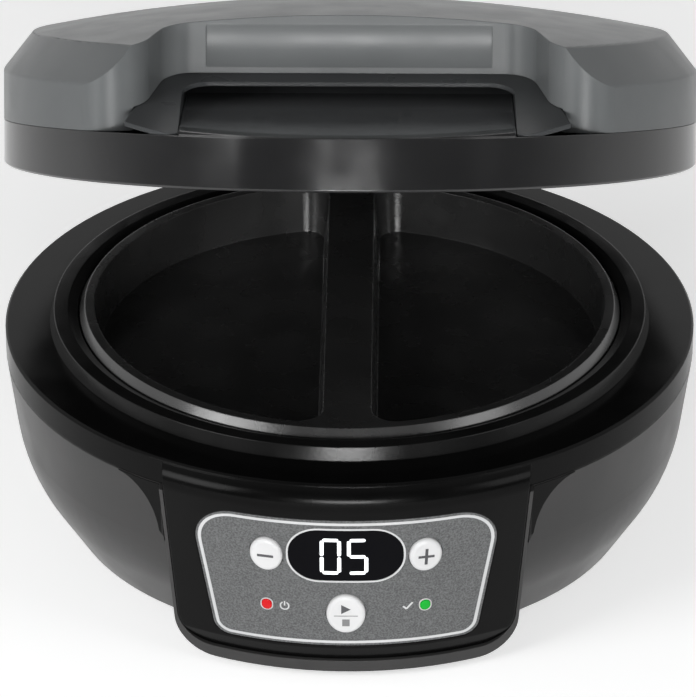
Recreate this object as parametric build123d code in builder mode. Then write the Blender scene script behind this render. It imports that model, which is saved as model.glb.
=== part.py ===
from build123d import *
import math
import os

# Countertop omelette maker: a bowl-shaped base with a front control apron, a round
# cooking plate with two half-moon wells, and a domed lid on a rear hinge.
# Millimetres, +Z up, front towards -Y, origin on the table under the base's axis.
# The lid is drawn closed and then turned up to the pose that the pieces are kept in.

os.makedirs("parts", exist_ok=True)

# ---- base shells
base_radius = 129.5
deck_height = 88.0
deck_thickness = 2.6
deck_opening_gap = 2.4
rim_band = 10.5
rim_edge = 0.8
foot_height = 3.0
floor_inset = 22.5
floor_rise = 7.3
ring_inset = 9.0
knee_inset = 5.2
knee_height = 38.0
knee_blend = 60.0
wall = 2.5
shell_gap = 0.3
lip_depth = 3.0
lip_thickness = 1.6
floor_thickness = 5.0

# ---- front apron and its control face
apron_foot_inset = 12.0
apron_slope = 0.2
apron_half_top = 68.0
apron_half_foot = 62.0
apron_corner = 15.0
apron_lip = 1.3
apron_start = 50.0
apron_sill = 5.0
apron_roll = 8.0
cut_past_deck = 20.0
fascia_corner = 13.0
fascia_step = 6.0
fascia_step_in = 1.4

# ---- collar and lower cooking plate
collar_width = 10.5
collar_draft = 1.6
collar_slope_width = 3.7
collar_gap = 0.7
collar_height = 5.0
collar_inner_height = 3.2
plate_foot_flare = 2.6
plate_top_flare = 0.6
plate_rise = 6.3
plate_neck_drop = 3.0
plate_ledge = 10.0
plate_margin = 20.5
plate_flange_thickness = 2.5
plate_wall = 3.3
well_margin = 3.0
well_depth = 19.0
well_corner = 9.0
well_draft = 6.0
bridge_width = 17.5
bridge_wall = 3.2

# ---- heaters and pans
heater_tube_radius = 3.1
lower_heater_inset = 27.0
upper_heater_inset = 43.0
heater_gap_half_angle = 20.0
heater_lead = 10.0
heater_bend = 8.0
heater_seat = 0.1
pan_thickness = 0.8
lower_pan_inset = 3.5
pan_rim = 9.0
pan_drop = 9.0
pan_post_radius = 3.5
pan_screw_length = 6.0
lug_screw_depth = 8.0
upper_pan_inset = 33.0

# ---- temperature parts under the plate
thermostat_x = 30.0
thermostat_radius = 7.0
thermostat_height = 8.0
thermostat_strap_length = 22.0
thermostat_strap_width = 6.0
fuse_radius = 2.2
fuse_length = 12.0
fuse_lead_radius = 0.7
fuse_lead = 6.0

# ---- fasteners
screw_radius = 1.5
screw_fit = 0.05
head_radius = 2.9
head_height = 1.8
cross_length = 3.8
cross_width = 0.8
screw_play = 0.5
boss_radius = 4.0
seat_gap = 0.1
tower_inset = 7.5
tower_seat_drop = 30.0
plate_screw_inset = 2.2
plate_screw_count = 6
pan_post_inset = 15.0

# ---- bottom cover and feet
cover_inset = 12.5
cover_fit = 0.4
cover_ledge = 6.0
cover_thickness = 2.4
cover_screw_inset = 2.9
cover_screw_angles = (0.0, 90.0, 180.0, 270.0)
foot_inset = 15.5
foot_radius = 8.0
foot_stem_radius = 3.5
foot_barb = 1.5
foot_edge = 0.6
foot_angles = (58.0, 122.0, 238.0, 302.0)
vent_length = 26.0
vent_width = 3.0
vent_pitch = 8.0
vent_spread = 33.0
vent_count = 8

# ---- controls on the apron
label_half_top = 56.8
label_half_foot = 47.6
label_top_height = 75.0
label_foot_height = 15.6
label_top_corner = 14.5
label_foot_corner = 6.5
label_thickness = 0.5
label_recess = 0.6
label_fit = 0.15
display_height = 58.6
display_half_width = 20.7
display_half_height = 11.8
display_corner = 11.0
window_thickness = 1.4
control_fit = 0.3
button_height = 57.7
button_spread = 28.6
button_half_width = 6.0
button_half_height = 7.4
start_height = 31.4
start_half_width = 7.1
start_half_height = 8.9
button_rise = 1.6
button_edge = 1.5
button_flange = 1.2
button_flange_thickness = 1.2
button_flange_play = 0.6
button_travel = 0.8
stem_radius = 1.6
stem_clear = 0.3
lamp_height = 33.6
lamp_spread = 28.6
lamp_half_width = 1.9
lamp_half_height = 2.3
lamp_depth = 5.0
lamp_rise = 0.5

# ---- electronics
board_depth = 14.0
board_half_width = 46.0
board_corner_inset = 4.0
board_half_height = 25.0
board_middle_height = 45.0
board_thickness = 1.6
board_post_radius = 3.2
switch_size = 6.0
switch_body = 3.4
display_module_half_width = 18.5
display_module_half_height = 10.5
display_clear = 2.4
switch_spread = 26.8
power_board_length = 74.0
power_board_width = 52.0
power_board_y = 22.0
power_hole_length = 64.0
power_hole_width = 42.0
power_board_height = 16.0
relay_spot = (-20.0, 28.0)
relay_length = 19.0
relay_width = 15.5
relay_height = 15.5
relay_edge = 0.8
film_capacitor_spot = (4.0, 30.0)
film_capacitor_length = 18.0
film_capacitor_width = 8.0
film_capacitor_height = 12.0
round_capacitor_spots = [(4.0, 12.0), (16.0, 12.0)]
round_capacitor_radius = 4.5
round_capacitor_height = 14.0
terminal_spot = (26.0, 27.0)
terminal_length = 24.0
terminal_width = 10.0
terminal_height = 11.0
terminal_count = 3
terminal_pitch = 7.5
terminal_entry = 4.0

# ---- lid
lid_open_angle = 21.5
lid_lift = 2.5
lid_wall = 3.0
seam_height = 16.0
seam_tilt = 3.2
seam_gap = 0.2
lid_side_height = 35.0
lid_shoulder_height = 49.0
lid_shoulder_inset = 11.0
lid_crown_height = 61.0
lid_flange_height = 5.0
lid_flange_thickness = 3.5
lid_boss_inset = 8.0
lid_screw_depth = 9.0
edge_round = 2.0

# ---- grip notch in the front of the lid
notch_side_inset = 63.5
notch_flare = 0.235
notch_depth = 72.5
notch_inner_corner = 12.0
notch_mouth_corner = 14.0
notch_lip_height = 37.0
notch_foot_inset = 17.5
notch_foot_height = 19.6
notch_scoop_radius = 26.0
notch_scoop_depth = 1.2
notch_scoop_height = 47.0
notch_scoop_inset = 14.0
trim_width = 8.0
pocket_side_inset = 6.0
trim_thickness = 1.6
trim_corner = 10.0
trim_gap = 0.1
pocket_depth = 17.0
pocket_wall = 1.6
pocket_floor_back_height = 28.5
pocket_floor_thickness = 2.2

# ---- upper cooking plate
plate_meeting_gap = 0.5
upper_well_depth = 8.0
upper_plate_wall = 3.2
upper_opening_gap = 4.5
upper_screw_inset = 2.7
upper_post_inset = 55.0
upper_post_radius = 3.5
upper_post_height = 6.8
upper_screw_bite = 3.0

# ---- hinge
hinge_reach = 16.5
hinge_drop = 24.0
pin_radius = 2.5
clip_slot_half = 2.0
pin_running_fit = 0.06
pin_fixed_fit = 0.02
pin_head_radius = 4.5
pin_head_thickness = 1.8
knuckle_radius = 7.5
arm_half_width = 25.0
washer_thickness = 1.0
washer_play = 0.3
washer_inset = 1.0
knuckle_width = 14.0
bracket_height = 27.0
bracket_drop = 11.0
bracket_reach = 6.5
arm_rise = 14.5
bracket_screw_length = 10.0
arm_screw_length = 18.0
arm_screw_x = 15.0
arm_screw_reach = 8.5
arm_boss_half_width = 20.0
arm_boss_reach = 11.5
arm_boss_height = 9.5
bracket_screw_x = 17.0
bracket_screw_drop = 6.0
bracket_screw_pitch = 15.0

# ---- cord inlet
inlet_angle = 118.0
inlet_height = 24.0
inlet_radius = 6.5
inlet_flange_radius = 8.5
inlet_flange_thickness = 2.0
inlet_bore_radius = 3.8
inlet_inner_inset = 21.3
inlet_outer_inset = 3.3
inlet_edge = 0.8

# ---- values worked out from the sizes above
floor_radius = base_radius - floor_inset
ring_radius = floor_radius - ring_inset
knee_radius = base_radius - knee_inset
apron_foot_radius = base_radius - apron_foot_inset
plate_flange_radius = base_radius - plate_margin
plate_body_radius = plate_flange_radius - plate_ledge
plate_foot_radius = plate_body_radius + plate_foot_flare
plate_top_radius = plate_body_radius + plate_top_flare
well_radius = plate_body_radius - well_margin
deck_opening_radius = plate_foot_radius + deck_opening_gap
collar_inner_radius = plate_foot_radius + collar_gap
collar_outer_radius = collar_inner_radius + collar_width
collar_top_outer_radius = collar_outer_radius - collar_draft
collar_top_inner_radius = collar_inner_radius + collar_slope_width
lower_heater_radius = plate_body_radius - lower_heater_inset
lower_pan_radius = plate_body_radius - lower_pan_inset
tower_circle = plate_flange_radius - tower_inset
plate_screw_circle = plate_flange_radius - plate_screw_inset
pan_post_circle = plate_body_radius - pan_post_inset
cover_radius = floor_radius - cover_inset
cover_screw_circle = cover_radius - cover_screw_inset
foot_circle = cover_radius - foot_inset
lid_radius = base_radius
plate_top_height = deck_height + plate_rise
plate_neck_height = plate_top_height - plate_neck_drop
lid_bottom = deck_height + lid_lift
bracket_top = deck_height - bracket_drop
bracket_bottom = bracket_top - bracket_height
hinge_z = deck_height - hinge_drop
arm_top = lid_bottom + arm_rise
tower_seat = deck_height - tower_seat_drop
notch_half_width = lid_radius - notch_side_inset
notch_scoop_half = notch_half_width - notch_scoop_inset
lid_shoulder_radius = lid_radius - lid_shoulder_inset
lid_boss_circle = lid_radius - lid_boss_inset
notch_back = lid_radius - notch_depth
notch_foot_reach = lid_radius - notch_foot_inset
pocket_back = notch_back - pocket_depth
upper_opening_radius = plate_body_radius + upper_opening_gap
upper_screw_circle = plate_flange_radius - upper_screw_inset
upper_post_circle = plate_body_radius - upper_post_inset
upper_heater_radius = plate_body_radius - upper_heater_inset
upper_pan_radius = plate_body_radius - upper_pan_inset
hinge_y = base_radius + hinge_reach
bracket_back = base_radius + bracket_reach
arm_screw_seat = base_radius + arm_screw_reach
inlet_inner_reach = knee_radius - inlet_inner_inset
inlet_outer_reach = knee_radius - inlet_outer_inset
housing_top = deck_height - rim_band
floor_edge_height = foot_height + floor_rise
deck_under = deck_height - deck_thickness
over_deck = deck_height + cut_past_deck
lip_draft = lip_depth * (base_radius - knee_radius) / (housing_top - knee_height)
lip_radius = base_radius - wall - shell_gap - lip_draft
fascia_sill = foot_height + apron_sill + shell_gap
fascia_step_top = fascia_sill + fascia_step
plate_bottom = plate_top_height - well_depth - plate_wall
plate_flange_top = deck_under - seat_gap
plate_flange_bottom = plate_flange_top - plate_flange_thickness
knuckle_inner = arm_half_width + washer_thickness + 2 * washer_play
knuckle_outer = knuckle_inner + knuckle_width
seat_bottom = (Align.CENTER, Align.CENTER, Align.MIN)
seat_top = (Align.CENTER, Align.CENTER, Align.MAX)
reach = 3 * base_radius
tower_angles = (45.0, 135.0, 225.0, 315.0)
lid_flange_bottom = lid_bottom + lid_flange_height
lid_flange_top = lid_flange_bottom + lid_flange_thickness
pocket_half_width = notch_half_width - pocket_side_inset
notch_scoop_y = notch_scoop_depth - notch_back - notch_scoop_radius
pocket_mouth_y = -notch_back - trim_width
trim_top = lid_bottom + notch_lip_height - trim_gap
upper_plate_bottom = plate_top_height + plate_meeting_gap
upper_plate_top = upper_plate_bottom + upper_well_depth + upper_plate_wall
upper_flange_bottom = lid_flange_top + seat_gap
upper_flange_top = upper_flange_bottom + plate_flange_thickness
upper_heater_height = upper_plate_top + heater_seat + heater_tube_radius
upper_pan_bottom = upper_plate_top + upper_post_height
arm_screw_height = lid_flange_bottom + lid_flange_thickness / 2
arm_screw_spots = [(x, arm_screw_height) for x in (-arm_screw_x, arm_screw_x)]
bracket_screw_top = bracket_top - bracket_screw_drop
bracket_screw_spots = [
    (x, z)
    for x in (-bracket_screw_x, bracket_screw_x)
    for z in (bracket_screw_top - bracket_screw_pitch, bracket_screw_top)
]
board_corner_x = board_half_width - board_corner_inset
board_corner_y = board_half_height - board_corner_inset
board_corners = [
    (x, y)
    for x in (-board_corner_x, board_corner_x)
    for y in (-board_corner_y, board_corner_y)
]


def apron_radius(height):
    return apron_foot_radius + apron_slope * height


def apron_half(height):
    share = (height - foot_height) / (deck_height - foot_height)
    return apron_half_foot + (apron_half_top - apron_half_foot) * share


def bowl_points(grow, edge_height):
    # outline of the bowl in X and Z, from the axis out and back, grown by a skin
    return [
        (0, foot_height),
        (ring_radius + grow, foot_height),
        (floor_radius + grow, edge_height),
        (knee_radius + grow, knee_height),
        (base_radius + grow, housing_top),
        (0, housing_top),
    ]


def apron_outline(inset, bottom):
    # front view of the apron, narrower towards its foot
    return [
        (-apron_half(bottom) + inset, bottom),
        (apron_half(bottom) - inset, bottom),
        (apron_half(over_deck) - inset, over_deck),
        (-apron_half(over_deck) + inset, over_deck),
    ]


def control_plane(x, height):
    # frame on the control face, its Z axis square to the cone and outwards
    radius = apron_radius(height)
    turn = math.asin(x / radius)
    lean = math.atan(apron_slope)
    outward = (
        math.sin(turn) * math.cos(lean),
        -math.cos(turn) * math.cos(lean),
        -math.sin(lean),
    )
    return Plane(
        origin=(x, -radius * math.cos(turn), height),
        x_dir=(math.cos(turn), math.sin(turn), 0),
        z_dir=outward,
    )


def polar(radius, angle, height):
    turn = math.radians(angle)
    return (radius * math.cos(turn), radius * math.sin(turn), height)


def radial_plane(angle, radius, height):
    # upright frame at a distance from the base's axis, its Z axis pointing outwards
    turn = math.radians(angle)
    return Plane(
        origin=polar(radius, angle, height),
        x_dir=(-math.sin(turn), math.cos(turn), 0),
        z_dir=(math.cos(turn), math.sin(turn), 0),
    )


def skin_points(low, high, inner, outer):
    # section of a thin sheet that lies along the control face
    return [
        (apron_radius(low) + inner, low),
        (apron_radius(low) + outer, low),
        (apron_radius(high) + outer, high),
        (apron_radius(high) + inner, high),
    ]


def label_outline(inset):
    return [
        (-label_half_foot + inset, label_foot_height + inset),
        (label_half_foot - inset, label_foot_height + inset),
        (label_half_top - inset, label_top_height - inset),
        (-label_half_top + inset, label_top_height - inset),
    ]


def cut_control(x, height, half_width, half_height):
    # oval hole through the control face, square to it
    with BuildSketch(control_plane(x, height)) as hole:
        Ellipse(half_width, half_height)
    extrude(hole.sketch, amount=board_depth / 2, both=True, mode=Mode.SUBTRACT)


def cut_display(inset):
    with BuildSketch(Plane.XZ.offset(apron_start)) as hole:
        with Locations((0, display_height)):
            RectangleRounded(
                2 * (display_half_width - inset),
                2 * (display_half_height - inset),
                display_corner - inset,
            )
    extrude(hole.sketch, amount=reach, mode=Mode.SUBTRACT)


def cut_controls(fit):
    for side in (-1, 1):
        cut_control(side * button_spread, button_height, button_half_width + fit, button_half_height + fit)
        cut_control(side * lamp_spread, lamp_height, lamp_half_width + fit, lamp_half_height + fit)
    cut_control(0, start_height, start_half_width + fit, start_half_height + fit)


def seam_at(y):
    return lid_bottom + seam_height - seam_tilt * y / lid_radius


def crown_at(radius):
    rise = lid_crown_height - lid_shoulder_height
    sphere = (lid_shoulder_radius**2 + rise**2) / (2 * rise)
    return lid_bottom + lid_crown_height - sphere + math.sqrt(sphere**2 - radius**2)


def notch_slope_at(y):
    run = notch_foot_reach - notch_back
    fall = notch_lip_height - notch_foot_height
    return lid_bottom + notch_lip_height + fall * (y + notch_back) / run


def pocket_floor_at(y):
    front = lid_radius - lid_wall
    low = seam_at(-front)
    share = (y + front) / (front - pocket_back)
    return low + (lid_bottom + pocket_floor_back_height - low) * share


def opened(part):
    hinge = Axis((0, hinge_y, hinge_z), (1, 0, 0))
    return part.rotate(hinge, -lid_open_angle)


def save(part, name):
    part.label = name
    export_step(part, f"parts/{name}.step")


def face_sag(x, height):
    # how far the round control face falls back from its middle line
    radius = apron_radius(height)
    return radius - math.sqrt(radius**2 - x**2)


board_plane = control_plane(0, board_middle_height).offset(-board_depth)
board_foot_height = board_middle_height - board_half_height
board_post_sag = face_sag(board_corner_x + board_post_radius, board_foot_height)
board_post_length = board_depth - board_post_sag - label_recess - seat_gap
board_screw_depth = board_post_length - seat_gap

# ---- base: grey lower housing
with BuildPart() as bowl:
    with BuildSketch(Plane.XZ) as bowl_section:
        Polygon(*bowl_points(0, floor_edge_height), align=None)
        fillet(bowl_section.vertices().sort_by_distance((knee_radius, knee_height))[0], knee_blend)
    revolve(axis=Axis.Z)

with BuildPart() as bowl_hollow:
    with BuildSketch(Plane.XZ) as hollow_section:
        Polygon(*bowl_points(-wall, floor_edge_height + wall), align=None)
        fillet(
            hollow_section.vertices().sort_by_distance((knee_radius - wall, knee_height))[0],
            knee_blend - wall,
        )
    revolve(axis=Axis.Z)
    with BuildSketch(Plane.XY.offset(foot_height)):
        Circle(floor_radius + wall)
    extrude(amount=floor_thickness, mode=Mode.SUBTRACT)

with BuildPart() as apron:
    with BuildSketch(Plane.XZ):
        Polygon(
            (0, foot_height),
            (apron_radius(foot_height), foot_height),
            (apron_radius(housing_top), housing_top),
            (0, housing_top),
            align=None,
        )
    revolve(axis=Axis.Z)
    with BuildSketch(Plane.XZ.offset(apron_start)) as apron_front:
        Polygon(*apron_outline(0, foot_height), align=None)
        fillet(apron_front.vertices().group_by(Axis.Y)[0], apron_corner)
    extrude(amount=reach, mode=Mode.INTERSECT)

with BuildPart() as apron_hollow:
    with BuildSketch(Plane.XZ):
        Polygon(
            (0, foot_height + apron_sill),
            (apron_radius(foot_height + apron_sill) + wall, foot_height + apron_sill),
            (apron_radius(housing_top) + wall, housing_top),
            (0, housing_top),
            align=None,
        )
    revolve(axis=Axis.Z)
    with BuildSketch(Plane.XZ.offset(apron_start)) as apron_mouth:
        Polygon(*apron_outline(apron_lip, foot_height + apron_sill), align=None)
        fillet(apron_mouth.vertices().group_by(Axis.Y)[0], fascia_corner)
    extrude(amount=reach, mode=Mode.INTERSECT)

with BuildPart() as housing_envelope:
    add(bowl.part)
    add(apron.part)

with BuildPart() as lower_housing:
    add(housing_envelope.part)
    add(bowl_hollow.part, mode=Mode.SUBTRACT)
    add(apron_hollow.part, mode=Mode.SUBTRACT)
    with Locations(*[polar(tower_circle, angle, foot_height) for angle in tower_angles]):
        Cylinder(boss_radius, plate_bottom - shell_gap - foot_height, align=seat_bottom)
    add(housing_envelope.part, mode=Mode.INTERSECT)
    # screw wells in the towers
    with Locations(*[polar(tower_circle, angle, foot_height) for angle in tower_angles]):
        Cylinder(head_radius + screw_fit, tower_seat - foot_height, align=seat_bottom, mode=Mode.SUBTRACT)
        Cylinder(screw_radius + screw_fit, plate_bottom, align=seat_bottom, mode=Mode.SUBTRACT)
    # opening and ledge for the bottom cover
    with BuildSketch(Plane.XY.offset(foot_height)):
        Circle(cover_radius - cover_ledge)
    extrude(amount=floor_thickness, mode=Mode.SUBTRACT)
    with BuildSketch(Plane.XY.offset(foot_height)):
        Circle(cover_radius + cover_fit)
    extrude(amount=cover_thickness + seat_gap, mode=Mode.SUBTRACT)
    with Locations(*[polar(cover_screw_circle, angle, foot_height) for angle in cover_screw_angles]):
        Cylinder(screw_radius + screw_fit, floor_thickness, align=seat_bottom, mode=Mode.SUBTRACT)
    # holes for the hinge bracket's screws
    with BuildSketch(Plane.XZ.offset(-plate_flange_radius)):
        with Locations(*bracket_screw_spots):
            Circle(screw_radius + screw_fit)
    extrude(amount=-reach, mode=Mode.SUBTRACT)
    # cord inlet hole in the back wall
    with BuildSketch(radial_plane(inlet_angle, plate_body_radius, inlet_height)):
        Circle(inlet_radius + shell_gap)
    extrude(amount=reach, mode=Mode.SUBTRACT)

save(lower_housing.part, "lower_housing")

# ---- base: shallow bed in the control face for the label
with BuildPart() as label_bed:
    with BuildSketch(Plane.XZ):
        Polygon(*skin_points(foot_height, deck_height, -label_recess, wall), align=None)
    revolve(axis=Axis.Z)
    with BuildSketch(Plane.XZ.offset(apron_start)) as bed_outline:
        Polygon(*label_outline(0), align=None)
        fillet(bed_outline.vertices().group_by(Axis.Y)[0], label_foot_corner)
        fillet(bed_outline.vertices().group_by(Axis.Y)[-1], label_top_corner)
    extrude(amount=reach, mode=Mode.INTERSECT)

# ---- base: black upper housing, its deck, rim band and fascia in one moulding
with BuildPart() as fascia:
    with BuildSketch(Plane.XZ) as fascia_section:
        Polygon(
            (apron_radius(fascia_sill) - fascia_step_in - wall, fascia_sill),
            (apron_radius(fascia_sill) - fascia_step_in, fascia_sill),
            (apron_radius(fascia_step_top), fascia_step_top),
            (apron_radius(deck_height), deck_height),
            (collar_outer_radius, deck_height),
            (collar_outer_radius, deck_under),
            (apron_radius(deck_under) - wall, deck_under),
            (apron_radius(fascia_step_top) - wall, fascia_step_top),
            align=None,
        )
        roll_corner = (apron_radius(deck_height), deck_height)
        fillet(fascia_section.vertices().sort_by_distance(roll_corner)[0], apron_roll)
        inner_corner = (apron_radius(deck_under) - wall, deck_under)
        fillet(fascia_section.vertices().sort_by_distance(inner_corner)[0], apron_roll - wall)
    revolve(axis=Axis.Z)
    with BuildSketch(Plane.XZ.offset(apron_start)) as fascia_front:
        Polygon(*apron_outline(apron_lip + shell_gap, fascia_sill), align=None)
        fillet(fascia_front.vertices().group_by(Axis.Y)[0], fascia_corner)
    extrude(amount=reach, mode=Mode.INTERSECT)
    add(label_bed.part, mode=Mode.SUBTRACT)
    # posts for the control board
    with BuildSketch(board_plane):
        with Locations(*board_corners):
            Circle(board_post_radius)
    extrude(amount=board_post_length)
    with BuildSketch(board_plane):
        with Locations(*board_corners):
            Circle(screw_radius + screw_fit)
    extrude(amount=board_screw_depth, mode=Mode.SUBTRACT)
    cut_controls(control_fit)
    cut_display(0)

with BuildPart() as upper_housing:
    with BuildSketch(Plane.XZ):
        Polygon(
            (deck_opening_radius, deck_under),
            (lip_radius - lip_thickness, deck_under),
            (lip_radius - lip_thickness, housing_top - lip_depth),
            (lip_radius, housing_top - lip_depth),
            (lip_radius, housing_top + shell_gap),
            (base_radius, housing_top + shell_gap),
            (base_radius, deck_height - rim_edge),
            (base_radius - rim_edge, deck_height),
            (deck_opening_radius, deck_height),
            align=None,
        )
    revolve(axis=Axis.Z)
    # the rim band and its lip stop where the fascia takes over
    with BuildSketch(Plane.XZ.offset(apron_start)):
        Polygon(*apron_outline(apron_lip + shell_gap, fascia_sill), align=None)
        with Locations((0, deck_under + reach / 2)):
            Rectangle(reach, reach, mode=Mode.SUBTRACT)
    extrude(amount=reach, mode=Mode.SUBTRACT)
    add(fascia.part)
    # screw holes for the plate
    with Locations((0, 0, deck_under)):
        with PolarLocations(plate_screw_circle, plate_screw_count):
            Cylinder(screw_radius + screw_fit, deck_thickness, align=seat_bottom, mode=Mode.SUBTRACT)

save(upper_housing.part, "upper_housing")

# ---- base: raised collar round the cooking plate
with BuildPart() as plate_collar:
    with BuildSketch(Plane.XZ):
        Polygon(
            (collar_inner_radius, deck_height),
            (collar_outer_radius, deck_height),
            (collar_top_outer_radius, deck_height + collar_height),
            (collar_top_inner_radius, deck_height + collar_height),
            (collar_inner_radius, deck_height + collar_inner_height),
            align=None,
        )
    revolve(axis=Axis.Z)
    with Locations((0, 0, deck_height)):
        with PolarLocations(plate_screw_circle, plate_screw_count):
            Cylinder(screw_radius + screw_fit, collar_inner_height, align=seat_bottom, mode=Mode.SUBTRACT)

save(plate_collar.part, "plate_collar")

# ---- base: lower cooking plate with two half-moon wells
with BuildPart() as lower_plate:
    with BuildSketch(Plane.XZ):
        Polygon(
            (0, plate_bottom),
            (plate_body_radius, plate_bottom),
            (plate_body_radius, plate_flange_bottom),
            (plate_flange_radius, plate_flange_bottom),
            (plate_flange_radius, plate_flange_top),
            (plate_foot_radius, plate_flange_top),
            (plate_foot_radius, plate_neck_height),
            (plate_top_radius, plate_top_height),
            (0, plate_top_height),
            align=None,
        )
    revolve(axis=Axis.Z)
    for side in (-1, 1):
        with BuildSketch(Plane.XY.offset(plate_top_height)) as well_mouth:
            Circle(well_radius)
            with Locations((side * (bridge_width / 2 - well_radius), 0)):
                Rectangle(2 * well_radius, 2 * well_radius, mode=Mode.SUBTRACT)
            fillet(well_mouth.vertices(), well_corner)
        extrude(amount=-well_depth, taper=well_draft, mode=Mode.SUBTRACT)
    # the bridge is hollow from below
    with BuildSketch(Plane.XY.offset(plate_bottom)):
        Rectangle(bridge_width - 2 * bridge_wall, 2 * well_radius - 2 * well_corner)
    extrude(amount=well_depth, mode=Mode.SUBTRACT)
    # lugs for the housing screws and posts for the pan
    with Locations(*[polar(tower_circle, angle, plate_bottom) for angle in tower_angles]):
        Cylinder(boss_radius, plate_flange_bottom - plate_bottom, align=seat_bottom)
    with Locations(*[polar(pan_post_circle, angle, plate_bottom) for angle in tower_angles]):
        Cylinder(pan_post_radius, pan_drop, align=seat_top)
    with Locations(*[polar(tower_circle, angle, plate_bottom) for angle in tower_angles]):
        Cylinder(screw_radius + screw_fit, lug_screw_depth, align=seat_bottom, mode=Mode.SUBTRACT)
    with Locations(*[polar(pan_post_circle, angle, plate_bottom - pan_drop) for angle in tower_angles]):
        Cylinder(screw_radius + screw_fit, pan_screw_length, align=seat_bottom, mode=Mode.SUBTRACT)
    with Locations((0, 0, plate_flange_bottom)):
        with PolarLocations(plate_screw_circle, plate_screw_count):
            Cylinder(screw_radius + screw_fit, plate_flange_thickness, align=seat_bottom, mode=Mode.SUBTRACT)

save(lower_plate.part, "lower_cooking_plate")

# ---- base: tubular heater under the plate, open at the back
lower_heater_height = plate_bottom - heater_seat - heater_tube_radius
with BuildPart() as lower_heater:
    with BuildLine(Plane.XY.offset(lower_heater_height)) as lower_heater_path:
        loop = CenterArc(
            (0, 0), lower_heater_radius, 90 + heater_gap_half_angle, 360 - 2 * heater_gap_half_angle
        )
        turn_out = JernArc(loop @ 1, loop % 1, heater_bend, heater_gap_half_angle - 90)
        Line(turn_out @ 1, turn_out @ 1 + turn_out % 1 * heater_lead)
    with BuildSketch(Plane(origin=loop @ 0, z_dir=loop % 0)):
        Circle(heater_tube_radius)
    sweep()
    with BuildLine(Plane.XY.offset(lower_heater_height)):
        turn_in = JernArc(loop @ 0, -(loop % 0), heater_bend, 90 - heater_gap_half_angle)
        Line(turn_in @ 1, turn_in @ 1 + turn_in % 1 * heater_lead)
    with BuildSketch(Plane(origin=loop @ 0, z_dir=-(loop % 0))):
        Circle(heater_tube_radius)
    sweep()

save(lower_heater.part, "lower_heater")

# ---- base: sheet pan that throws the heat back up
lower_pan_top = plate_bottom - pan_drop
with BuildPart() as lower_pan:
    with BuildSketch(Plane.XZ):
        Polygon(
            (0, lower_pan_top - pan_thickness),
            (lower_pan_radius, lower_pan_top - pan_thickness),
            (lower_pan_radius, lower_pan_top - pan_thickness + pan_rim),
            (lower_pan_radius - pan_thickness, lower_pan_top - pan_thickness + pan_rim),
            (lower_pan_radius - pan_thickness, lower_pan_top),
            (0, lower_pan_top),
            align=None,
        )
    revolve(axis=Axis.Z)
    with Locations(*[polar(pan_post_circle, angle, lower_pan_top) for angle in tower_angles]):
        Cylinder(screw_radius + screw_fit, 2 * pan_thickness, mode=Mode.SUBTRACT)

save(lower_pan.part, "lower_heat_pan")

# ---- base: thermostat and thermal fuse held against the plate
with BuildPart() as thermostat:
    with Locations((thermostat_x, 0, plate_bottom - heater_seat)):
        Cylinder(thermostat_radius, thermostat_height, align=seat_top)
    with Locations((thermostat_x, 0, plate_bottom - heater_seat)):
        Box(thermostat_strap_length, thermostat_strap_width, pan_thickness, align=seat_top)

save(thermostat.part, "thermostat")

with BuildPart() as thermal_fuse:
    with Locations(Plane((-thermostat_x, 0, plate_bottom - heater_seat - fuse_radius), z_dir=(0, 1, 0))):
        Cylinder(fuse_radius, fuse_length)
        Cylinder(fuse_lead_radius, fuse_length + 2 * fuse_lead)

save(thermal_fuse.part, "thermal_fuse")

# ---- base: bottom cover, rubber feet
cover_top = foot_height + cover_thickness
power_post_length = power_board_height - cover_top
with BuildPart() as bottom_cover:
    with BuildSketch(Plane.XY.offset(foot_height)):
        Circle(cover_radius)
        with Locations(*[polar(foot_circle, angle, 0) for angle in foot_angles]):
            Circle(foot_stem_radius + shell_gap / 2, mode=Mode.SUBTRACT)
        with PolarLocations(cover_screw_circle, len(cover_screw_angles)):
            Circle(screw_radius + screw_fit, mode=Mode.SUBTRACT)
        for side in (-1, 1):
            with Locations((side * vent_spread, 0)):
                with GridLocations(0, vent_pitch, 1, vent_count):
                    SlotOverall(vent_length, vent_width, mode=Mode.SUBTRACT)
    extrude(amount=cover_thickness)
    # posts for the power board
    with Locations((0, power_board_y, cover_top)):
        with GridLocations(power_hole_length, power_hole_width, 2, 2):
            Cylinder(board_post_radius, power_post_length, align=seat_bottom)
            Cylinder(screw_radius + screw_fit, power_post_length, align=seat_bottom, mode=Mode.SUBTRACT)

save(bottom_cover.part, "bottom_cover")

with BuildPart() as feet:
    with Locations(*[polar(foot_circle, angle, 0) for angle in foot_angles]):
        Cylinder(foot_radius, foot_height, align=seat_bottom)
        Cylinder(foot_stem_radius, cover_top + foot_barb, align=seat_bottom)
    chamfer(feet.edges().filter_by(GeomType.CIRCLE).group_by(Axis.Z)[0], foot_edge)

save(feet.part, "rubber_feet")

# ---- base: power board with its relay, capacitor and terminal block
with BuildPart() as power_board:
    with BuildSketch(Plane.XY.offset(power_board_height)):
        with Locations((0, power_board_y)):
            Rectangle(power_board_length, power_board_width)
            with GridLocations(power_hole_length, power_hole_width, 2, 2):
                Circle(screw_radius + screw_fit, mode=Mode.SUBTRACT)
    extrude(amount=board_thickness)

save(power_board.part, "power_board")

power_board_top = power_board_height + board_thickness
with BuildPart() as relay:
    with BuildSketch(Plane.XY.offset(power_board_top)):
        with Locations(relay_spot):
            Rectangle(relay_length, relay_width)
    extrude(amount=relay_height)
    chamfer(relay.edges().filter_by(Axis.Z), relay_edge)

save(relay.part, "relay")

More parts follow.
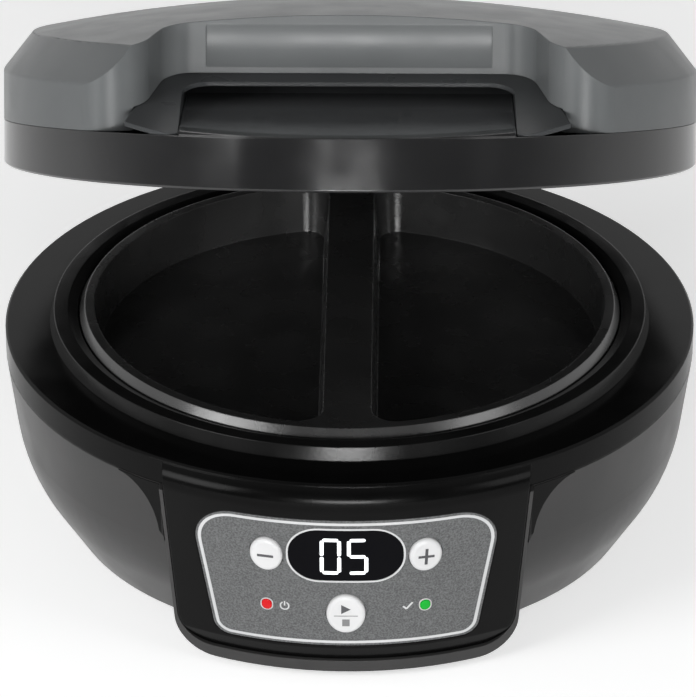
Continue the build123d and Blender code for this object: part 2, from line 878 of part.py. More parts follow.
with BuildPart() as capacitors:
    with BuildSketch(Plane.XY.offset(power_board_top)):
        with Locations(film_capacitor_spot):
            Rectangle(film_capacitor_length, film_capacitor_width)
    extrude(amount=film_capacitor_height)
    with BuildSketch(Plane.XY.offset(power_board_top)):
        with Locations(*round_capacitor_spots):
            Circle(round_capacitor_radius)
    extrude(amount=round_capacitor_height)

save(capacitors.part, "capacitors")

with BuildPart() as terminal_block:
    with BuildSketch(Plane.XY.offset(power_board_top)):
        with Locations(terminal_spot):
            Rectangle(terminal_width, terminal_length)
    extrude(amount=terminal_height)
    entry_x = terminal_spot[0] + terminal_width / 2
    with Locations((entry_x, terminal_spot[1], power_board_top + terminal_height / 2)):
        with GridLocations(0, terminal_pitch, 1, terminal_count):
            Box(terminal_entry, terminal_entry, terminal_entry, mode=Mode.SUBTRACT)

save(terminal_block.part, "terminal_block")

# ---- base: cord inlet bushing in the back wall
with BuildPart() as cord_inlet:
    with BuildSketch(radial_plane(inlet_angle, inlet_inner_reach, inlet_height)):
        Circle(inlet_radius)
    extrude(amount=inlet_outer_reach - inlet_inner_reach)
    with BuildSketch(radial_plane(inlet_angle, inlet_inner_reach, inlet_height)):
        Circle(inlet_flange_radius)
    extrude(amount=inlet_flange_thickness)
    with BuildSketch(radial_plane(inlet_angle, inlet_inner_reach, inlet_height)):
        Circle(inlet_bore_radius)
    extrude(amount=inlet_outer_reach - inlet_inner_reach, mode=Mode.SUBTRACT)
    inlet_rounds = cord_inlet.edges().filter_by(GeomType.CIRCLE)
    fillet(inlet_rounds.sort_by_distance((0, 0, inlet_height))[-2:], inlet_edge)

save(cord_inlet.part, "cord_inlet")

# ---- base: control label, display window, lamps and what sits behind them
with BuildPart() as control_label:
    with BuildSketch(Plane.XZ):
        Polygon(
            *skin_points(foot_height, deck_height, -label_recess, -label_recess + label_thickness),
            align=None,
        )
    revolve(axis=Axis.Z)
    with BuildSketch(Plane.XZ.offset(apron_start)) as label_edge:
        Polygon(*label_outline(label_fit), align=None)
        fillet(label_edge.vertices().group_by(Axis.Y)[0], label_foot_corner - label_fit)
        fillet(label_edge.vertices().group_by(Axis.Y)[-1], label_top_corner - label_fit)
    extrude(amount=reach, mode=Mode.INTERSECT)
    cut_controls(control_fit)
    cut_display(-label_fit)

save(control_label.part, "control_label")

with BuildPart() as display_window:
    with BuildSketch(Plane.XZ):
        Polygon(*skin_points(foot_height, deck_height, -label_recess - window_thickness, 0), align=None)
    revolve(axis=Axis.Z)
    with BuildSketch(Plane.XZ.offset(apron_start)):
        with Locations((0, display_height)):
            RectangleRounded(
                2 * (display_half_width - label_fit),
                2 * (display_half_height - label_fit),
                display_corner - label_fit,
            )
    extrude(amount=reach, mode=Mode.INTERSECT)

save(display_window.part, "display_window")

with BuildPart() as lamp_lenses:
    for side in (-1, 1):
        with BuildSketch(control_plane(side * lamp_spread, lamp_height).offset(-lamp_depth)):
            Ellipse(lamp_half_width, lamp_half_height)
        extrude(amount=lamp_depth + lamp_rise)

for lens, name in zip(lamp_lenses.part.solids().sort_by(Axis.X), ("power_lamp_lens", "ready_lamp_lens")):
    save(Part(lens.wrapped), name)

with BuildPart() as control_board:
    with BuildSketch(board_plane):
        Rectangle(2 * board_half_width, 2 * board_half_height)
        with Locations(*board_corners):
            Circle(screw_radius + screw_fit, mode=Mode.SUBTRACT)
    extrude(amount=-board_thickness)

save(control_board.part, "control_board")

with BuildPart() as display_module:
    with BuildSketch(board_plane):
        with Locations((0, (display_height - board_middle_height) / math.cos(math.atan(apron_slope)))):
            Rectangle(2 * display_module_half_width, 2 * display_module_half_height)
    extrude(amount=board_depth - wall - display_clear)

save(display_module.part, "display_module")

switch_spots = [(0, start_height), (-switch_spread, button_height), (switch_spread, button_height)]
with BuildPart() as switches:
    with BuildSketch(board_plane):
        for x, height in switch_spots:
            with Locations((x, (height - board_middle_height) / math.cos(math.atan(apron_slope)))):
                Rectangle(switch_size, switch_size)
    extrude(amount=switch_body)

save(switches.part, "tact_switches")

# ---- buttons, each one an oval cap with a flange behind the face and a stem
button_places = {
    "minus_button": (-button_spread, button_height, button_half_width, button_half_height),
    "plus_button": (button_spread, button_height, button_half_width, button_half_height),
    "start_button": (0, start_height, start_half_width, start_half_height),
}
cap_bottom = wall + button_flange_play + button_flange_thickness
for name, (x, height, half_width, half_height) in button_places.items():
    face = control_plane(x, height)
    stem_end = board_depth - face_sag(x, board_middle_height) - switch_body - button_travel - stem_clear
    with BuildPart() as button:
        with BuildSketch(face.offset(-cap_bottom)):
            Ellipse(half_width, half_height)
        extrude(amount=cap_bottom + button_rise)
        top = button.faces().sort_by_distance(face.offset(button_rise).origin)[0]
        fillet(top.edges(), button_edge)
        with BuildSketch(face.offset(-cap_bottom)):
            Ellipse(half_width + button_flange, half_height + button_flange)
        extrude(amount=button_flange_thickness)
        with BuildSketch(face.offset(-stem_end)):
            Circle(stem_radius)
        extrude(amount=stem_end - cap_bottom)
    save(button.part, name)


# ---- screws, heads on their seats
def add_screw(seat, length):
    with BuildSketch(seat) as head:
        Circle(head_radius)
    extrude(head.sketch, amount=head_height)
    with BuildSketch(seat) as shank:
        Circle(screw_radius)
    extrude(shank.sketch, amount=-length)
    with BuildSketch(seat.offset(head_height)) as cross:
        Rectangle(cross_length, cross_width)
        Rectangle(cross_width, cross_length)
    extrude(cross.sketch, amount=-head_height / 2, mode=Mode.SUBTRACT)


def facing(origin, direction):
    return Plane(origin=origin, z_dir=direction)


with BuildPart() as housing_screws:
    for angle in tower_angles:
        seat = facing(polar(tower_circle, angle, tower_seat), (0, 0, -1))
        add_screw(seat, plate_bottom + lug_screw_depth - screw_play - tower_seat)
save(housing_screws.part, "housing_screws")

with BuildPart() as plate_screws:
    for turn in range(plate_screw_count):
        angle = 360 * turn / plate_screw_count
        seat = facing(polar(plate_screw_circle, angle, plate_flange_bottom), (0, 0, -1))
        add_screw(seat, deck_height + collar_inner_height - screw_play - plate_flange_bottom)
save(plate_screws.part, "plate_screws")

with BuildPart() as pan_screws:
    for angle in tower_angles:
        seat = facing(polar(pan_post_circle, angle, lower_pan_top - pan_thickness), (0, 0, -1))
        add_screw(seat, pan_thickness + pan_screw_length - screw_play)
save(pan_screws.part, "pan_screws")

with BuildPart() as board_screws:
    for corner_x, corner_y in board_corners:
        back = board_plane.offset(-board_thickness)
        seat = facing(back.from_local_coords((corner_x, corner_y, 0)), -back.z_dir)
        add_screw(seat, board_thickness + board_screw_depth - screw_play)
save(board_screws.part, "board_screws")

with BuildPart() as cover_screws:
    for angle in cover_screw_angles:
        seat = facing(polar(cover_screw_circle, angle, foot_height), (0, 0, -1))
        add_screw(seat, floor_thickness - screw_play)
save(cover_screws.part, "cover_screws")

with BuildPart() as power_board_screws:
    with Locations((0, power_board_y, 0)):
        with GridLocations(power_hole_length, power_hole_width, 2, 2) as power_corners:
            power_spots = [place.position for place in power_corners.locations]
    for spot in power_spots:
        seat = facing((spot.X, spot.Y, power_board_top), (0, 0, 1))
        add_screw(seat, power_board_top - cover_top - screw_play)
save(power_board_screws.part, "power_board_screws")

# ---- hinge: bracket on the base, pin, washers
with BuildPart() as bowl_skin:
    with BuildSketch(Plane.XZ):
        Polygon(*bowl_points(seat_gap, floor_edge_height), align=None)
    revolve(axis=Axis.Z)
    with Locations((0, 0, housing_top)):
        Cylinder(base_radius + seat_gap, reach, align=seat_bottom)

with BuildPart() as hinge_bracket:
    with BuildSketch(Plane.YZ.offset(-knuckle_outer)):
        Polygon(
            (plate_flange_radius, bracket_bottom),
            (bracket_back, bracket_bottom),
            (bracket_back, bracket_top),
            (plate_flange_radius, bracket_top),
            align=None,
        )
    extrude(amount=2 * knuckle_outer)
    for side in (-1, 1):
        with BuildSketch(Plane.YZ.offset(side * knuckle_inner)):
            with Locations((hinge_y, hinge_z)):
                Circle(knuckle_radius)
            Polygon(
                (plate_flange_radius, hinge_z - knuckle_radius),
                (hinge_y, hinge_z - knuckle_radius),
                (hinge_y, hinge_z + knuckle_radius),
                (plate_flange_radius, hinge_z + knuckle_radius),
                align=None,
            )
        extrude(amount=side * knuckle_width)
    add(bowl_skin.part, mode=Mode.SUBTRACT)
    with BuildSketch(Plane.YZ.offset(-reach)):
        with Locations((hinge_y, hinge_z)):
            Circle(pin_radius + pin_fixed_fit)
    extrude(amount=2 * reach, mode=Mode.SUBTRACT)
    with BuildSketch(Plane.XZ.offset(-bracket_back)):
        with Locations(*bracket_screw_spots):
            Circle(screw_radius + screw_fit)
    extrude(amount=bracket_back, mode=Mode.SUBTRACT)

save(hinge_bracket.part, "hinge_bracket")

with BuildPart() as bracket_screws:
    for spot_x, spot_z in bracket_screw_spots:
        add_screw(facing((spot_x, bracket_back, spot_z), (0, 1, 0)), bracket_screw_length)
save(bracket_screws.part, "bracket_screws")

with BuildPart() as hinge_pin:
    with BuildSketch(Plane.YZ.offset(-knuckle_outer - shell_gap)):
        with Locations((hinge_y, hinge_z)):
            Circle(pin_radius)
    extrude(amount=2 * (knuckle_outer + shell_gap) + 2 * pin_head_thickness)
    with BuildSketch(Plane.YZ.offset(-knuckle_outer - shell_gap)):
        with Locations((hinge_y, hinge_z)):
            Circle(pin_head_radius)
    extrude(amount=-pin_head_thickness)
save(hinge_pin.part, "hinge_pin")

with BuildPart() as pin_clip:
    with BuildSketch(Plane.YZ.offset(knuckle_outer + shell_gap)):
        with Locations((hinge_y, hinge_z)):
            Circle(pin_head_radius)
            Circle(pin_radius + pin_fixed_fit, mode=Mode.SUBTRACT)
            with Locations((0, -pin_head_radius)):
                Rectangle(2 * clip_slot_half, 2 * pin_head_radius, mode=Mode.SUBTRACT)
    extrude(amount=pin_head_thickness / 2)
save(pin_clip.part, "pin_clip")

with BuildPart() as washers:
    for side in (-1, 1):
        with BuildSketch(Plane.YZ.offset(side * (arm_half_width + washer_play))):
            with Locations((hinge_y, hinge_z)):
                Circle(knuckle_radius - washer_inset)
                Circle(pin_radius + pin_running_fit, mode=Mode.SUBTRACT)
        extrude(amount=side * washer_thickness)
save(washers.part, "friction_washers")



def notch_half_at(y, grow):
    # half width of the notch, which widens towards the front, grown square to its sides
    return notch_half_width + grow * math.hypot(1, notch_flare) - notch_flare * (y + notch_back)


def notch_outline(back, grow):
    return [
        (-notch_half_at(-notch_back, grow), back),
        (notch_half_at(-notch_back, grow), back),
        (notch_half_at(-notch_back, grow), -notch_back),
        (notch_half_at(-reach, grow), -reach),
        (-notch_half_at(-reach, grow), -reach),
        (-notch_half_at(-notch_back, grow), -notch_back),
    ]


# ---- lid: plan and dome that the cover is cut from
with BuildSketch() as cover_plan:
    Circle(lid_radius)
    Polygon(
        (-notch_half_width, -notch_back),
        (notch_half_width, -notch_back),
        (notch_half_at(-reach, 0), -reach),
        (-notch_half_at(-reach, 0), -reach),
        align=None,
        mode=Mode.SUBTRACT,
    )
    mouth_half = notch_half_at(-notch_foot_reach, 0)
    mouth_y = -math.sqrt(lid_radius**2 - mouth_half**2)
    for side in (-1, 1):
        inner = cover_plan.vertices().sort_by_distance((side * notch_half_width, -notch_back))[0]
        fillet(inner, notch_inner_corner)
        mouth = cover_plan.vertices().sort_by_distance((side * mouth_half, mouth_y))[0]
        fillet(mouth, notch_mouth_corner)

with BuildSketch() as inner_plan:
    add(cover_plan.sketch)
    offset(amount=-lid_wall, mode=Mode.REPLACE)

# the notch with the feet of its walls, and the part of it that the trim covers
with BuildSketch() as wall_foot_plan:
    Polygon(*notch_outline(0, lid_wall + shell_gap), align=None)
    with BuildSketch(mode=Mode.SUBTRACT):
        add(cover_plan.sketch)
        offset(amount=-lid_wall - shell_gap, mode=Mode.REPLACE)

with BuildSketch() as trim_plan:
    Circle(lid_radius - shell_gap)
    Polygon(*notch_outline(0, lid_wall - shell_gap), align=None, mode=Mode.INTERSECT)
    with BuildSketch(mode=Mode.SUBTRACT):
        add(cover_plan.sketch)
        offset(amount=-lid_wall + shell_gap, mode=Mode.REPLACE)


def dome_section(inset):
    # side, shoulder and crown of the dome, thinned evenly by the wall
    steep = (lid_shoulder_height - lid_side_height) / (lid_radius - lid_shoulder_radius)
    shallow = 0.2
    shoulder_in = inset * (math.hypot(1, steep) - math.hypot(1, shallow)) / (steep - shallow)
    side_height = lid_side_height + inset * (steep - math.hypot(1, steep))
    shoulder_radius = lid_shoulder_radius - shoulder_in
    shoulder_height = side_height + steep * (lid_radius - inset - shoulder_radius)
    return (
        (lid_radius - inset, lid_bottom + side_height),
        (shoulder_radius, lid_bottom + shoulder_height),
        (shoulder_radius / 2, crown_at(shoulder_radius / 2) - inset),
        (0, lid_bottom + lid_crown_height - inset),
    )


with BuildPart() as dome:
    with BuildSketch(Plane.XZ) as dome_profile:
        side_point, shoulder_point, middle_point, crown_point = dome_section(0)
        with BuildLine():
            Polyline((0, lid_flange_top), (lid_radius, lid_flange_top), side_point, shoulder_point)
            ThreePointArc(shoulder_point, middle_point, crown_point)
            Line(crown_point, (0, lid_flange_top))
        make_face()
        for corner in (side_point, shoulder_point):
            fillet(dome_profile.vertices().sort_by_distance(corner)[0], edge_round)
    revolve(axis=Axis.Z)
    with BuildSketch(Plane.XY.offset(lid_flange_top)):
        add(cover_plan.sketch)
    extrude(amount=reach, mode=Mode.INTERSECT)

def dome_inside(inset):
    # solid of the space under the dome, that far in from its outer face
    with BuildPart() as space:
        with BuildSketch(Plane.XZ):
            side_inside, shoulder_inside, middle_inside, crown_inside = dome_section(inset)
            with BuildLine():
                Polyline(
                    (0, lid_flange_top),
                    (lid_radius - inset, lid_flange_top),
                    side_inside,
                    shoulder_inside,
                )
                ThreePointArc(shoulder_inside, middle_inside, crown_inside)
                Line(crown_inside, (0, lid_flange_top))
            make_face()
        revolve(axis=Axis.Z)
    return space.part


with BuildPart() as dome_hollow:
    add(dome_inside(lid_wall))
    with BuildSketch(Plane.XY.offset(lid_flange_top)):
        add(inner_plan.sketch)
    extrude(amount=reach, mode=Mode.INTERSECT)


def below_seam(lift):
    # everything below the tilted seam
    with BuildPart() as block:
        with BuildSketch(Plane.YZ.offset(-reach)):
            Polygon(
                (-reach, lid_bottom - reach),
                (reach, lid_bottom - reach),
                (reach, seam_at(reach) + lift),
                (-reach, seam_at(-reach) + lift),
                align=None,
            )
        extrude(amount=2 * reach)
    return block.part


# the space under the sloping foot of the notch walls
with BuildPart() as under_slope:
    with BuildSketch(Plane.XY.offset(lid_bottom)):
        add(wall_foot_plan.sketch)
    extrude(amount=lid_crown_height)
    with BuildSketch(Plane.YZ.offset(-reach)):
        Polygon(
            (-notch_foot_reach - shell_gap, lid_bottom),
            (-notch_foot_reach - shell_gap, notch_slope_at(-notch_foot_reach)),
            (-notch_back, lid_bottom + notch_lip_height),
            (0, lid_bottom + notch_lip_height),
            (0, lid_bottom),
            align=None,
        )
    extrude(amount=2 * reach, mode=Mode.INTERSECT)

with BuildPart() as cover_bosses:
    with Locations(*[polar(lid_boss_circle, angle, lid_flange_top + shell_gap) for angle in tower_angles]):
        Cylinder(boss_radius, lid_crown_height, align=seat_bottom)
    add(dome_inside(lid_wall / 2), mode=Mode.INTERSECT)

with BuildPart() as lid_cover:
    add(dome.part)
    add(dome_hollow.part, mode=Mode.SUBTRACT)
    add(below_seam(seam_gap), mode=Mode.SUBTRACT)
    add(under_slope.part, mode=Mode.SUBTRACT)
    add(cover_bosses.part)
    with Locations(*[polar(lid_boss_circle, angle, lid_flange_top) for angle in tower_angles]):
        Cylinder(screw_radius + screw_fit, lid_screw_depth, align=seat_bottom, mode=Mode.SUBTRACT)
    # shallow scoop along the grip wall
    with BuildSketch(Plane.YZ.offset(-notch_scoop_half)):
        with Locations((notch_scoop_y, lid_bottom + notch_scoop_height)):
            Circle(notch_scoop_radius)
    extrude(amount=2 * notch_scoop_half, mode=Mode.SUBTRACT)

save(opened(lid_cover.part), "lid_cover")

# ---- lid: black lower shell with the floor of the grip pocket
with BuildPart() as pocket_floor:
    with BuildSketch(Plane.YZ.offset(-pocket_half_width + shell_gap)):
        Polygon(
            (-lid_radius, pocket_floor_at(-lid_radius)),
            (-pocket_back - shell_gap, pocket_floor_at(-pocket_back)),
            (-pocket_back - shell_gap, pocket_floor_at(-pocket_back) - pocket_floor_thickness),
            (-lid_radius, pocket_floor_at(-lid_radius) - pocket_floor_thickness),
            align=None,
        )
    extrude(amount=2 * (pocket_half_width - shell_gap))
    with Locations((0, 0, lid_bottom)):
        Cylinder(lid_radius - lid_wall / 2, lid_crown_height, align=seat_bottom, mode=Mode.INTERSECT)

with BuildPart() as lid_shell:
    with BuildSketch(Plane.XZ):
        Polygon(
            (lid_radius - lid_wall + rim_edge, lid_bottom),
            (lid_radius - rim_edge, lid_bottom),
            (lid_radius, lid_bottom + rim_edge),
            (lid_radius, lid_bottom + seam_height + 2 * seam_tilt),
            (lid_radius - lid_wall, lid_bottom + seam_height + 2 * seam_tilt),
            (lid_radius - lid_wall, lid_flange_top),
            (upper_opening_radius, lid_flange_top),
            (upper_opening_radius, lid_flange_bottom),
            (lid_radius - lid_wall, lid_flange_bottom),
            (lid_radius - lid_wall, lid_bottom + rim_edge),
            align=None,
        )
    revolve(axis=Axis.Z)
    add(below_seam(0), mode=Mode.INTERSECT)
    add(pocket_floor.part)
    with Locations((0, lid_radius - lid_wall / 2, arm_screw_height)):
        Box(
            2 * arm_boss_half_width,
            arm_boss_reach,
            arm_boss_height,
            align=(Align.CENTER, Align.MAX, Align.CENTER),
        )
    with Locations(*[polar(lid_boss_circle, angle, lid_flange_bottom) for angle in tower_angles]):
        Cylinder(screw_radius + screw_fit, lid_flange_thickness, align=seat_bottom, mode=Mode.SUBTRACT)
    with Locations((0, 0, lid_flange_top)):
        with PolarLocations(upper_screw_circle, plate_screw_count, 30):
            Cylinder(screw_radius + screw_fit, upper_screw_bite, align=seat_top, mode=Mode.SUBTRACT)
    with BuildSketch(Plane.XZ.offset(-arm_screw_seat)):
        with Locations(*arm_screw_spots):
            Circle(screw_radius + screw_fit)
    extrude(amount=arm_screw_length, mode=Mode.SUBTRACT)

save(opened(lid_shell.part), "lid_shell")

# ---- lid: dark trim that lines the grip pocket
with BuildPart() as trim_flange:
    with BuildSketch(Plane.XY.offset(lid_bottom)) as flange_plan:
        add(trim_plan.sketch)
        with Locations((0, -pocket_back + pocket_wall)):
            Rectangle(
                2 * (pocket_half_width + pocket_wall),
                notch_back - pocket_back + trim_width + pocket_wall,
                align=(Align.CENTER, Align.MAX),
            )
        with BuildSketch(mode=Mode.SUBTRACT) as mouth_plan:
            with Locations((0, pocket_mouth_y)):
                Rectangle(2 * pocket_half_width, reach, align=(Align.CENTER, Align.MAX))
            fillet(mouth_plan.vertices().group_by(Axis.Y)[-1], trim_corner)
    extrude(amount=lid_crown_height)
    with BuildSketch(Plane.YZ.offset(-reach)):
        Polygon(
            (-notch_foot_reach, notch_slope_at(-notch_foot_reach) - trim_gap),
            (-notch_back, trim_top),
            (0, trim_top),
            (0, trim_top - trim_thickness),
            (-notch_back, trim_top - trim_thickness),
            (-notch_foot_reach, notch_slope_at(-notch_foot_reach) - trim_gap - trim_thickness),
            align=None,
        )
    extrude(amount=2 * reach, mode=Mode.INTERSECT)
    add(below_seam(trim_gap), mode=Mode.SUBTRACT)

with BuildPart() as handle_trim:
    with BuildSketch(Plane.YZ.offset(-pocket_half_width - pocket_wall)):
        Polygon(
            (-notch_foot_reach, pocket_floor_at(-notch_foot_reach) - pocket_floor_thickness),
            (-pocket_back + pocket_wall, pocket_floor_at(-pocket_back) - pocket_floor_thickness),
            (-pocket_back + pocket_wall, trim_top - trim_thickness / 2),
            (-notch_back, trim_top - trim_thickness / 2),
            (-notch_foot_reach, notch_slope_at(-notch_foot_reach) - trim_gap - trim_thickness / 2),
            align=None,
        )
    extrude(amount=2 * (pocket_half_width + pocket_wall))
    with BuildSketch(Plane.XY.offset(lid_bottom)):
        with Locations((0, -pocket_back)):
            Rectangle(2 * pocket_half_width, reach, align=(Align.CENTER, Align.MAX))
    extrude(amount=lid_crown_height, mode=Mode.SUBTRACT)
    with Locations((0, 0, lid_bottom)):
        Cylinder(
            lid_radius - lid_wall - shell_gap,
            lid_crown_height,
            align=seat_bottom,
            mode=Mode.INTERSECT,
        )
    add(trim_flange.part)

save(opened(handle_trim.part), "handle_trim")

# ---- lid: upper cooking plate, its two shallow wells opening downwards
with BuildPart() as upper_plate:
    with BuildSketch(Plane.XZ):
        Polygon(
            (0, upper_plate_bottom),
            (plate_top_radius, upper_plate_bottom),
            (plate_foot_radius, upper_plate_bottom + plate_top_height - plate_neck_height),
            (plate_foot_radius, upper_flange_bottom),
            (plate_flange_radius, upper_flange_bottom),
            (plate_flange_radius, upper_flange_top),
            (plate_body_radius, upper_flange_top),
            (plate_body_radius, upper_plate_top),
            (0, upper_plate_top),
            align=None,
        )
    revolve(axis=Axis.Z)
    for side in (-1, 1):
        with BuildSketch(Plane.XY.offset(upper_plate_bottom)) as upper_mouth:
            Circle(well_radius)
            with Locations((side * (bridge_width / 2 - well_radius), 0)):
                Rectangle(2 * well_radius, 2 * well_radius, mode=Mode.SUBTRACT)
            fillet(upper_mouth.vertices(), well_corner)
        extrude(amount=upper_well_depth, taper=well_draft, mode=Mode.SUBTRACT)
    with BuildSketch(Plane.XY.offset(upper_plate_top)):
        Rectangle(bridge_width - 2 * bridge_wall, 2 * well_radius - 2 * well_corner)
    extrude(amount=-upper_well_depth, mode=Mode.SUBTRACT)
    with Locations((0, 0, upper_plate_top)):
        with PolarLocations(upper_post_circle, 4, 45):
            Cylinder(upper_post_radius, upper_post_height, align=seat_bottom)
            Cylinder(screw_radius + screw_fit, upper_post_height, align=seat_bottom, mode=Mode.SUBTRACT)
    with Locations((0, 0, upper_flange_bottom)):
        with PolarLocations(upper_screw_circle, plate_screw_count, 30):
            Cylinder(screw_radius + screw_fit, plate_flange_thickness, align=seat_bottom, mode=Mode.SUBTRACT)

save(opened(upper_plate.part), "upper_cooking_plate")

# ---- lid: heater, pan and thermal fuse above the upper plate
with BuildPart() as upper_heater:
    with BuildLine(Plane.XY.offset(upper_heater_height)):
        upper_loop = CenterArc(
            (0, 0), upper_heater_radius, 90 + heater_gap_half_angle, 360 - 2 * heater_gap_half_angle
        )
        upper_out = JernArc(upper_loop @ 1, upper_loop % 1, heater_bend, heater_gap_half_angle - 90)
        Line(upper_out @ 1, upper_out @ 1 + upper_out % 1 * heater_lead)
    with BuildSketch(Plane(origin=upper_loop @ 0, z_dir=upper_loop % 0)):
        Circle(heater_tube_radius)
    sweep()
    with BuildLine(Plane.XY.offset(upper_heater_height)):
        upper_in = JernArc(upper_loop @ 0, -(upper_loop % 0), heater_bend, 90 - heater_gap_half_angle)
        Line(upper_in @ 1, upper_in @ 1 + upper_in % 1 * heater_lead)
    with BuildSketch(Plane(origin=upper_loop @ 0, z_dir=-(upper_loop % 0))):
        Circle(heater_tube_radius)
    sweep()

save(opened(upper_heater.part), "upper_heater")

with BuildPart() as upper_pan:
    with BuildSketch(Plane.XY.offset(upper_pan_bottom)):
        Circle(upper_pan_radius)
        with PolarLocations(upper_post_circle, 4, 45):
            Circle(screw_radius + screw_fit, mode=Mode.SUBTRACT)
    extrude(amount=pan_thickness)

save(opened(upper_pan.part), "upper_heat_pan")

with BuildPart() as upper_fuse:
    with Locations(Plane((-thermostat_x, 0, upper_plate_top + heater_seat + fuse_radius), z_dir=(0, 1, 0))):
        Cylinder(fuse_radius, fuse_length)
        Cylinder(fuse_lead_radius, fuse_length + 2 * fuse_lead)

save(opened(upper_fuse.part), "upper_thermal_fuse")

# ---- lid: screws
with BuildPart() as lid_screws:
    for angle in tower_angles:
        seat = facing(polar(lid_boss_circle, angle, lid_flange_bottom), (0, 0, -1))
        add_screw(seat, lid_flange_thickness + lid_screw_depth - screw_play)
save(opened(lid_screws.part), "lid_screws")

with BuildPart() as upper_plate_screws:
    for turn in range(plate_screw_count):
        angle = 30 + 360 * turn / plate_screw_count
        seat = facing(polar(upper_screw_circle, angle, upper_flange_top), (0, 0, 1))
        add_screw(seat, plate_flange_thickness + upper_screw_bite - screw_play)
save(opened(upper_plate_screws.part), "upper_plate_screws")

with BuildPart() as upper_pan_screws:
    for angle in tower_angles:
        seat = facing(polar(upper_post_circle, angle, upper_pan_bottom + pan_thickness), (0, 0, 1))
        add_screw(seat, pan_thickness + upper_post_height - screw_play)
save(opened(upper_pan_screws.part), "upper_pan_screws")

# ---- lid: hinge arm, curved to the back of the lid and turning on the pin
with BuildPart() as hinge_arm:
    with BuildSketch(Plane.YZ.offset(-arm_half_width)):
        with Locations((hinge_y, hinge_z)):
            Circle(knuckle_radius)
        Polygon(
            (hinge_y - knuckle_radius, hinge_z),
            (hinge_y + knuckle_radius, hinge_z),
            (hinge_y + knuckle_radius, lid_bottom + knuckle_radius),
            (hinge_y, arm_top),
            (upper_opening_radius, arm_top),
            (upper_opening_radius, lid_bottom + rim_edge),
            (hinge_y - knuckle_radius, lid_bottom + rim_edge),
            align=None,
        )
    extrude(amount=2 * arm_half_width)
    with Locations((0, 0, 0)):
        Cylinder(lid_radius + seat_gap, 2 * reach, mode=Mode.SUBTRACT)
    with BuildSketch(Plane.YZ.offset(-reach)):
        with Locations((hinge_y, hinge_z)):
            Circle(pin_radius + pin_running_fit)
    extrude(amount=2 * reach, mode=Mode.SUBTRACT)
    with BuildSketch(Plane.XZ.offset(-arm_screw_seat)):
        with Locations(*arm_screw_spots):
            Circle(screw_radius + screw_fit)
    extrude(amount=arm_screw_length, mode=Mode.SUBTRACT)
    with BuildSketch(Plane.XZ.offset(-arm_screw_seat)):
        with Locations(*arm_screw_spots):
            Circle(head_radius + shell_gap)
    extrude(amount=-reach, mode=Mode.SUBTRACT)

save(opened(hinge_arm.part), "hinge_arm")

with BuildPart() as arm_screws:
    for spot_x, spot_z in arm_screw_spots:
        add_screw(facing((spot_x, arm_screw_seat, spot_z), (0, 1, 0)), arm_screw_length - screw_play)
save(opened(arm_screws.part), "hinge_arm_screws")
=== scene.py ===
import bpy
import math
from mathutils import Matrix, Vector


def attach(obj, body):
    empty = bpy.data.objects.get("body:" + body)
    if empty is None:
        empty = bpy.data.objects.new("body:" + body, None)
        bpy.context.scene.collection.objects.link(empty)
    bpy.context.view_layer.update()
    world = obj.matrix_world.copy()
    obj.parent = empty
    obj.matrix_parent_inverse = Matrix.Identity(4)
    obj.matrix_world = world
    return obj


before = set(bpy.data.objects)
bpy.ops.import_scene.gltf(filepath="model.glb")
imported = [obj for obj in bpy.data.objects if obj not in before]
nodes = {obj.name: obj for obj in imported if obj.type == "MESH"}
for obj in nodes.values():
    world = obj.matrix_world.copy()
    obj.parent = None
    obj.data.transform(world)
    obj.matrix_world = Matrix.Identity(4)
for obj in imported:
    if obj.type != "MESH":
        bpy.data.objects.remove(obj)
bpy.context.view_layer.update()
mm = 0.001
print("frame loaded,", len(nodes), "nodes")


# where the picture is taken from
camera = {"distance": 2.0, "elevation": 28.5, "turn": 0.6, "aimHeight": 0.073, "pixels": 5280.0, "shiftX": -0.0022}


def addCamera(look):
    bpy.ops.object.camera_add()
    cam = bpy.context.object
    up = math.radians(look["elevation"])
    turn = math.radians(look["turn"])
    back = Vector((math.sin(turn) * math.cos(up), -math.cos(turn) * math.cos(up), math.sin(up)))
    cam.location = Vector((0, 0, look["aimHeight"])) + back * look["distance"]
    cam.rotation_mode = "QUATERNION"
    cam.rotation_quaternion = (-back).to_track_quat("-Z", "Y")
    cam.data.lens = 36.0 * look["pixels"] / 696.0
    cam.data.shift_x = look["shiftX"]
    cam.data.clip_start = 0.05
    cam.data.clip_end = 20
    bpy.context.scene.camera = cam


addCamera(camera)
bpy.context.scene.view_settings.view_transform = "Standard"

# floor, room and lamps: bright sweep behind the object, darker room in front
studio = {
    "floorSize": 6.0, "floorColour": (0.9, 0.9, 0.9, 1), "floorGlow": 0.46,
    "roomColour": (1, 1, 1, 1), "ambientSide": 0.46, "ambientTop": 0.12, "frontGloss": 0.1, "backGloss": 1.0,
    "softboxes": {
        "keySoftbox": ((-1.35, -1.1, 0.95), (0, 0, 0.1), (0.9, 0.7), 14.0),
        "fillSoftbox": ((1.3, -0.9, 0.9), (0, 0, 0.1), (0.7, 0.7), 4.5),
        "frontSoftbox": ((0, -1.7, 0.42), (0, 0, 0.1), (0.55, 0.3), 19.0),
    },
}


def addSoftbox(name, place, aim, size, power):
    bpy.ops.object.light_add(type="AREA", location=place)
    lamp = bpy.context.object
    lamp.name = name
    lamp.data.shape = "RECTANGLE"
    lamp.data.size, lamp.data.size_y = size
    lamp.data.energy = power
    lamp.rotation_mode = "QUATERNION"
    lamp.rotation_quaternion = (Vector(aim) - Vector(place)).to_track_quat("-Z", "Y")


